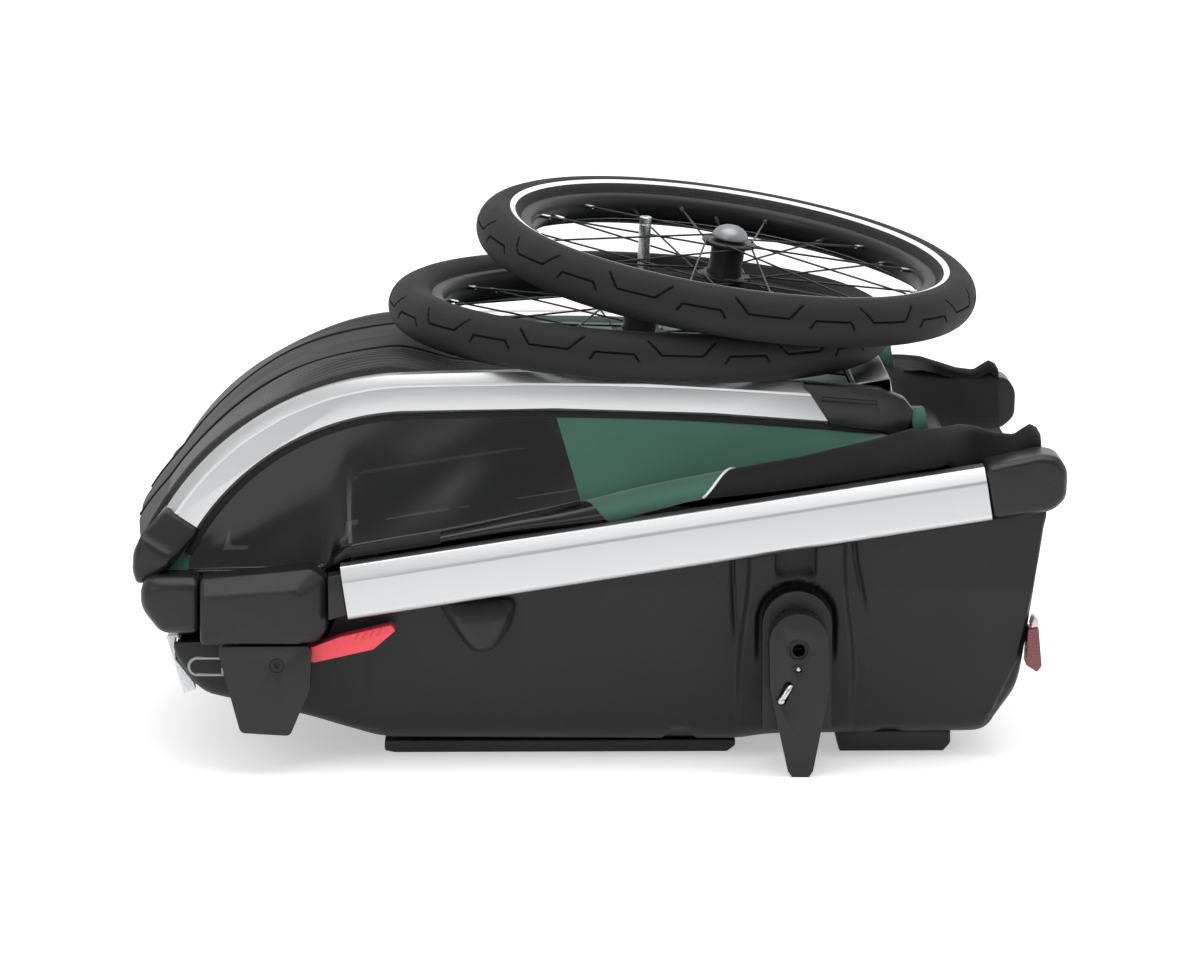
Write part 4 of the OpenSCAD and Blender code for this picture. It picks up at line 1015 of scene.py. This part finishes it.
# %% Sweep
def sweep(name, path, section, look, broad=(0, 1, 0), closed=False):
    """Carries a closed section (across, up) along a path; across stays near the broad direction."""
    path = np.asarray(path, float)
    if closed:
        ahead = np.roll(path, -1, 0) - np.roll(path, 1, 0)
    else:
        ahead = np.gradient(path, axis=0)
    ahead /= np.linalg.norm(ahead, axis=1)[:, None]
    across = np.asarray(broad, float) - ahead * (ahead @ np.asarray(broad, float))[:, None]
    across /= np.linalg.norm(across, axis=1)[:, None]
    up = np.cross(across, ahead)
    section = np.asarray(section, float)
    sideways, upwards = section[None, :, :1], section[None, :, 1:]
    points = path[:, None, :] + across[:, None, :] * sideways + up[:, None, :] * upwards
    faces = grid_faces(len(path), len(section), closed, True).tolist()
    if not closed:
        start_cap = np.arange(len(section))
        faces += [start_cap[::-1].tolist(), (start_cap + (len(path) - 1) * len(section)).tolist()]
    return turned_out(new_piece(name, points.reshape(-1, 3), faces, look, sharp=50))


def oval(across, up, sides=12):
    """An oval section of these half sizes."""
    turn = np.arange(sides) * 2 * math.pi / sides
    return np.stack([across * np.cos(turn), up * np.sin(turn)], 1)


def mirrored(points, side):
    """Points drawn for the left side (y below 0), on either side."""
    points = np.array(points, float)
    points[..., 1] *= -SIDES[side]
    return points


# %% [markdown]
# ## Lower rails and tail lights
# The lower rail is an aluminium extrusion: one section, with small die radii, drawn along a straight
# line. Its top is chamfered on the outside, and that chamfer is what catches the light. Each tail light
# is a small red lens under a paler top.

# %% Lower rails and tail lights
RAIL_START, RAIL_ALONG, RAIL_CORNER = (-245, 199), Vector((610, 0, 94)), 2.2
RAIL_SECTION = [(17, 0), (-8, 0), (-17, 13.5), (-17, 47), (-13, 51), (13, 51), (17, 47)]
lights = []
for side, sign in SIDES.items():
    low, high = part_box("lower_rail_" + side)
    middle = (low[1] + high[1]) / 2 / MM
    section = np.asarray(RAIL_SECTION, float) * [-sign, 1]
    underside = (section[0] + section[1]) / 2
    ring = cut_corners([underside, *section[1:], section[0], underside], RAIL_CORNER)[:-1]
    start = Vector((RAIL_START[0], middle, RAIL_START[1]))
    steps = [tuple(start + RAIL_ALONG * t) for t in np.linspace(0, 1, 12)]
    rail = sweep("lower_rail_body_" + side, steps, ring, satin_rail)
    settle(rail, "root", "aluminium_satin", "lower_rail_" + side)
    red = [(411, 132), (421, 134), (424.5, 96), (420, 90), (409, 97)]
    pale = [(413.5, 133), (421, 134.5), (420.4, 142), (416, 142)]
    for corners, look in ((red, red_lens), (pale, pink_lens)):
        lights.append(lofted("lens", [(246 * sign, corners), (274 * sign, corners)], look, 2, 1.5))
settle(joined("tail_light_bodies", lights), "root", SLOT_OF["tail_lights"], "tail_lights")
print("two lower rails of", round(RAIL_ALONG.length), "mm and", len(lights), "lens pieces")

# %% [markdown]
# ## Roof piping and keder
# The piping follows a column of the canopy's own grid, so it can't drift off the seam. The keder follows
# the roof rail's line, lower by the rail's height, and leaves it at the back towards the end cap.

# %% Roof piping and keder
KEDER_Y = -243.5
KEDER_TAIL = [(240, 320.6), (258, 318.6), (272, 316.4), (284, 310.6), (292, 308)]
for side in SIDES:
    column = int(np.argmin(np.abs(wide - SIDES[side] * (BAND_HALF + 0.5))))
    seam_line = points[:, column] + np.stack([out[:, 0], 0 * out[:, 0], out[:, 1]], 1) * 0.5
    settle(sweep("roof_piping_" + side, seam_line, oval(1.5, 1.5, 10), black_canvas), "roof", "fabric_black")
    low_line, _ = roof_line(40.2, 63.5, 221, 4.0)
    keder = [(x, KEDER_Y, z) for x, z in [*low_line, *KEDER_TAIL]]
    keder = rounded_line(mirrored(keder, side), 6, 4.0)
    settle(sweep("side_keder_" + side, keder, oval(4.6, 4.0), black_canvas), "roof", "fabric_black")
print("keder of", len(keder), "steps on each side")

# %% [markdown]
# ## Side cloth with its window
# Each side is one continuous cloth from the keder under the roof rail down to the lower rail: tinted
# film in front, green canvas behind, black canvas at the back. Folded, it is longer than the gap, so
# its lower part lies in a roll along the lower rail that grows towards the back. Column by column the
# grid runs down the flat part to a crease and then round the roll. Columns near a colour change lean,
# so that the change follows a clean slanted line instead of a staircase.


# %% Side cloth shape
FLAT_ROWS, ROLL_ROWS = 30, 18
COLUMN_X = np.linspace(-416, 424, 241)
FOOT_END = -380.0
# The roll's height above the lower edge along x, and behind x 300 the height of its top.
ROLL_HEIGHT = ([-416, -262, -240, -151, -112, -55, -8, 49, 116, 192, 258, 300],
               [5, 5, 9, 11, 13, 17, 22, 26, 30, 31, 36, 42])
ROLL_TOP = ([300, 315, 344, 362, 380, 398, 407, 414, 421, 424],
            [324, 326, 327, 323, 317, 315, 321, 325, 321, 315])
LOW_EDGE = ([-416, -262, -240, 365, 424], [183, 184, 203, 294.5, 294])
CAP_EDGE = ([222, 262, 272, 284, 300], [325, 320.5, 319, 312, 309])


def top_edge(x):
    """Height of the side cloth's upper edge."""
    foot = np.interp(x, [-416, -407, -387, FOOT_END], [190, 207, 226, 226.5])
    bend = BEND_Z + np.sqrt(np.maximum(0, 242 ** 2 - (x - BEND_X) ** 2))
    rail = LONG_Z + np.sqrt((LONG_R - 38) ** 2 - (x - LONG_X) ** 2)
    height = np.where(x < FOOT_END, foot, np.where(x < -188, bend, rail))
    return np.where(x > 222, np.interp(x, *CAP_EDGE), height)


def side_columns():
    """Points of the left side cloth, (column, row, xyz), with the columns where the film and the piping lie.
    """
    x = COLUMN_X[:, None]
    low = np.interp(x, *LOW_EDGE)
    roll = np.where(x < 300, low + np.interp(x, *ROLL_HEIGHT), np.interp(x, *ROLL_TOP))
    low = np.where(x > 330, np.maximum(roll - 46, low - 60 * ease(x, 330, 372)), low)
    half_high = (roll - low) / 2
    middle_z = (roll + low) / 2
    at_block = 1 - ease(x, -264, -236)
    middle_y = -273 + 38 * ease(x, 318, 366) + 23 * at_block
    bulge = 15 - 3 * ease(x, 318, 366) - 12 * at_block
    turn = np.radians(np.linspace(128, -72, ROLL_ROWS))[None, :]
    roll_y = middle_y - bulge * np.cos(turn)
    roll_z = middle_z + half_high * np.sin(turn)
    share = np.linspace(0, 1, FLAT_ROWS, endpoint=False)[None, :]
    top_z = np.where(x < 300, top_edge(x), roll - 12)
    top_y = -243.5 + 15 * ease(x, 300, 330)
    flat_z = top_z + (roll_z[:, :1] - top_z) * share
    flat_y = top_y + (roll_y[:, :1] - top_y) * share
    belly_in = np.sin(math.pi * share) * (1 - ease(x, 285, 330))
    flat_y = flat_y + belly_in * (5.0 + 2.0 * np.sin(x / 55.0) + 1.5 * np.sin(x / 23.0 + 4 * share))
    folds = ease(x, 120, 200) * (1.6 * np.sin(x / 15.0 - 3.2 * turn) + 1.2 * np.sin(x / 33.0 + 2.0 * turn))
    roll_y = roll_y - folds * np.sin(np.linspace(0.1, 1, ROLL_ROWS) * math.pi)[None, :]
    y = np.concatenate([flat_y, roll_y], 1)
    z = np.concatenate([flat_z, roll_z], 1)
    down = np.linspace(0, 1, FLAT_ROWS)[None, :]
    film_edge = np.concatenate([-41 + 24 * down, -17 + 30 * np.linspace(0, 1, ROLL_ROWS)[None, :]], 1)
    pipe_edge = np.concatenate([133 + 0 * down, 133 - 38 * np.linspace(0, 1, ROLL_ROWS)[None, :]], 1)
    film_column = COLUMN_X[np.argmin(np.abs(COLUMN_X + 20))]
    pipe_column = COLUMN_X[np.argmin(np.abs(COLUMN_X - 118))]
    lean = (film_edge - film_column) * np.exp(-((x - film_column) / 46) ** 2)
    lean = lean + (pipe_edge - pipe_column) * np.exp(-((x - pipe_column) / 46) ** 2)
    return np.stack([x + lean, y, z], -1), film_column, pipe_column


# %% [markdown]
# The zones of film, green and black follow the columns and rows. The cloth hangs from the roof and
# ends on the lower rail.

# %% Side cloth zones
SIDE_POINTS, FILM_X, PIPE_X = side_columns()
middle_x = (COLUMN_X[1:] + COLUMN_X[:-1])[:, None] / 2
row_number = np.arange(FLAT_ROWS + ROLL_ROWS - 1)[None, :]
on_roll = row_number >= FLAT_ROWS
FILM, BLACK, GREEN = 0, 1, 2
side_zones = np.where(middle_x < FILM_X, FILM, GREEN)
side_zones = np.where(middle_x < -393, GREEN, side_zones)
side_zones = np.where(on_roll & (middle_x > PIPE_X), BLACK, side_zones)
side_zones = np.where(on_roll & (middle_x > -250) & (middle_x < -150), BLACK, side_zones)
side_zones = np.where((row_number < 1) & (middle_x < FILM_X), BLACK, side_zones)
side_zones = np.where(middle_x > 298, BLACK, side_zones)
steps_down = np.linalg.norm(np.diff(SIDE_POINTS, axis=1), axis=2)
down_run = np.concatenate([np.zeros((len(COLUMN_X), 1)), np.cumsum(steps_down, 1)], 1)
side_map = np.stack([SIDE_POINTS[..., 0], down_run], -1) * MM
print(len(np.unique(side_zones)), "zones on", side_zones.size, "faces")

# %% Side cloths
for side in SIDES:
    side_points = mirrored(SIDE_POINTS, side)
    faces = grid_faces(len(COLUMN_X), FLAT_ROWS + ROLL_ROWS)
    faces = faces if side == "left" else faces[:, ::-1]
    cloth = new_piece("side_cloth_" + side, side_points.reshape(-1, 3), faces,
                      [window_film, black_canvas, green_canvas], side_zones.ravel(), side_map.reshape(-1, 2))
    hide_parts("side_panel_" + side)
    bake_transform(cloth)
    pipe_column = int(np.argmin(np.abs(COLUMN_X - PIPE_X)))
    edge = side_points[pipe_column, FLAT_ROWS:-2] + mirrored([(0, -0.8, 0.4)], side)
    pipe = sweep("white_piping_" + side, edge, oval(1.3, 1.3, 8), piping_white, broad=(1, 0, 0))
    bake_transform(pipe)
    print(cloth.name, round(area_of(cloth), 4), "m2")

# %% [markdown]
# ## Rear cloth
# Behind the roof's cross tube the cloth falls slack into the tub and rises again to the rear panel,
# higher at the sides than in the middle.

# %% Rear cloth
REAR_FALL = [(284, 349), (292, 338), (306, 302), (332, 270), (374, 257), (402, 256), (423, 259)]
REAR_CLIMB = ([284, 330, 385, 423], [0, 40, 60, 52])
REAR_HALF = 238
REAR_LINE = rounded_line(REAR_FALL, 14, 4.0)
rear_wide = np.linspace(-REAR_HALF, REAR_HALF, 97)
across = np.abs(rear_wide[:, None]) / REAR_HALF
step_along = np.linspace(0, 1, len(REAR_LINE))[None, :]
sag = np.sin(math.pi * step_along)
climb = np.interp(REAR_LINE[:, 0], *REAR_CLIMB)[None, :] * ease(across, 0.82, 1.0)
z = REAR_LINE[None, :, 1] + climb + 1.8 * sag * np.sin(rear_wide[:, None] / 19 + 5 * step_along)
z = z + 1.4 * sag * np.sin(rear_wide[:, None] / 47 - 9 * step_along)
x = np.repeat(REAR_LINE[None, :, 0], len(rear_wide), 0)
rear_points = np.stack([x, np.repeat(rear_wide[:, None], len(REAR_LINE), 1), z], -1)
rear_run = np.concatenate([[0], np.cumsum(np.linalg.norm(np.diff(REAR_LINE, axis=0), axis=1))])
rear_map = np.stack([rear_points[..., 1], np.repeat(rear_run[None, :], len(rear_wide), 0)], -1) * MM
rear_faces = grid_faces(len(rear_wide), len(REAR_LINE))[:, ::-1]
rear = new_piece("rear_cloth", rear_points.reshape(-1, 3), rear_faces, black_canvas,
                 uv=rear_map.reshape(-1, 2))
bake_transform(rear)
print("rear cloth", round(area_of(rear), 4), "m2")

# %% [markdown]
# ## Pull loops
# A green loop of webbing hangs from each roof end cap, to lift the roof by. Webbing is a flat band just
# under two millimetres thick, so it is a band swept round a closed line.

# %% Pull loops
LOOP = [(303, -232, 341), (305, -243, 341), (307, -248, 330), (309, -246, 318), (310, -236, 313),
        (308, -228, 320), (305, -226, 332)]
WEBBING = [(-7, -0.9), (7, -0.9), (7, 0.9), (-7, 0.9)]
for side in SIDES:
    loop = rounded_line(mirrored(LOOP + LOOP[:1], side), 5, 3.0)[:-1]
    strap = sweep("pull_loop_" + side, loop, WEBBING, green_canvas, broad=(1, 0, 0), closed=True)
    settle(strap, "roof", "fabric_green")
print("pull loops of", len(loop), "steps")

# %% [markdown]
# ## Brake levers
# The parking brake on each wheel leg is a small cranked steel lever with a ball end in a curved slot:
# an oval bar swept along its crank, with a small sphere on the end.


# %% Brake levers
def ball(name, centre, radius, look):
    """A small sphere."""
    shape = bmesh.new()
    bmesh.ops.create_uvsphere(shape, u_segments=24, v_segments=16, radius=radius * MM,
                              matrix=Matrix.Translation(Vector(centre) * MM))
    mesh = bpy.data.meshes.new(name)
    shape.to_mesh(mesh)
    shape.free()
    mesh.materials.append(look)
    smooth(mesh)
    return put(name, mesh)


CRANK = [(182.5, -316, 90), (182.5, -327, 89.5), (179, -332.5, 85), (174.8, -333.3, 78),
         (172.4, -333.3, 74.5)]
KNOB = (172.4, -333.3, 74.4)
for side in SIDES:
    node = "brake_pin_" + side
    arm = sweep("arm", rounded_line(mirrored(CRANK, side), 4, 1.0), oval(2.6, 1.7, 14), zinc_steel,
                broad=(1, 0, 0))
    knob = ball("knob", mirrored([KNOB], side)[0], 3.6, zinc_steel)
    settle(joined("brake_lever_" + side, [arm, knob]), BODY_OF[node], SLOT_OF[node], node)
print("two brake levers")

# %% [markdown]
# The axle's eye in each wheel leg has a raised ring round it, and a small screw sits in a ring below.
# Both rings are an oval section swept round a closed circle.

# %% Ring and screw on each leg
RING_X, RING_Y, SCREW_Y, EYE_Z, SCREW_Z = 188.5, 330.1, 328.8, 122, 104
turn = np.arange(48) * 2 * math.pi / 48
for side, sign in SIDES.items():
    trim = []
    for radius, z, thick in ((9.4, EYE_Z, 1.3), (4.4, SCREW_Z, 1.0)):
        line = [RING_X + radius * np.cos(turn), np.full(48, RING_Y * sign), z + radius * np.sin(turn)]
        trim.append(sweep("ring", np.stack(line, 1), oval(thick, 0.9, 10), satin_black, closed=True))
    trim.append(ball("screw_head", (RING_X, SCREW_Y * sign, SCREW_Z), 2.6, zinc_steel))
    settle(joined("leg_trim_" + side, trim), BODY_OF["wheel_leg_" + side], "black_plastic")
print("ring and screw on each wheel leg")

# %% [markdown]
# ## Seat pads
# The seat is two foam pads in a grey cover. A remeshed copy of each CAD pad is blown up a little by the
# cloth solver, with its travel capped, so that the pad goes from a brick to a stuffed thing. The weave
# reads a flat map, laid on after the remesh, which would have removed it.


# %% Seat pads
PAD_VOXEL_MM, PAD_CAP_MM, PAD_PRESSURE, PAD_FRAMES = 6, 6.0, 4.0, 20


def stuffed(node, name, look):
    """A CAD pad blown up by the cloth solver, its travel capped, with a clean closed mesh."""
    obj = put(name, frame["nodes"][node].data.copy())
    obj.data.materials.clear()
    obj.data.materials.append(look)
    even = obj.modifiers.new("even", "REMESH")
    even.mode = "VOXEL"
    even.voxel_size = PAD_VOXEL_MM * MM
    wear = obj.modifiers.new("wear", "SMOOTH")
    wear.factor = 0.5
    wear.iterations = 6
    applied(obj)
    start = np.zeros(len(obj.data.vertices) * 3)
    obj.data.vertices.foreach_get("co", start)
    air = obj.modifiers.new("air", "CLOTH")
    air.settings.use_pressure = True
    air.settings.uniform_pressure_force = PAD_PRESSURE
    air.settings.effector_weights.gravity = 0.0
    air.point_cache.frame_start = 1
    air.point_cache.frame_end = PAD_FRAMES
    for step in range(1, PAD_FRAMES + 1):
        bpy.context.scene.frame_set(step)
    applied(obj)
    bpy.context.scene.frame_set(1)
    blown = np.zeros(len(start))
    obj.data.vertices.foreach_get("co", blown)
    travel = (blown - start).reshape(-1, 3)
    far = np.linalg.norm(travel, axis=1, keepdims=True)
    travel *= np.minimum(1.0, PAD_CAP_MM * MM / np.maximum(far, 1e-9))
    obj.data.vertices.foreach_set("co", (start.reshape(-1, 3) + travel).ravel())
    finer = obj.modifiers.new("finer", "SUBSURF")
    finer.levels = 1
    applied(obj)
    spots = np.zeros(len(obj.data.vertices) * 3)
    obj.data.vertices.foreach_get("co", spots)
    spots = spots.reshape(-1, 3)
    lay_cloth_map(obj.data, np.stack([spots[:, 1], spots[:, 0] + spots[:, 2]], 1))
    smooth(obj.data)
    return settle(obj, BODY_OF[node], SLOT_OF[node], node)


for node in ("seat_base", "seat_back"):
    pad = stuffed(node, node + "_pad", lining)
    print(pad.name, len(pad.data.polygons), "faces")

# %% [markdown]
# ## Cloth facts
# The roof cloth is a plain rectangle with a little extra width for its tucked edges; the side and rear
# cloths are cut to a shape. Printed below are the deepest run down a side cloth and the run down the
# middle of the rear cloth.

print(round(float(down_run[:, -1].max())), "mm deepest side cloth")
print(round(float(rear_run[-1])), "mm down the middle of the rear cloth")
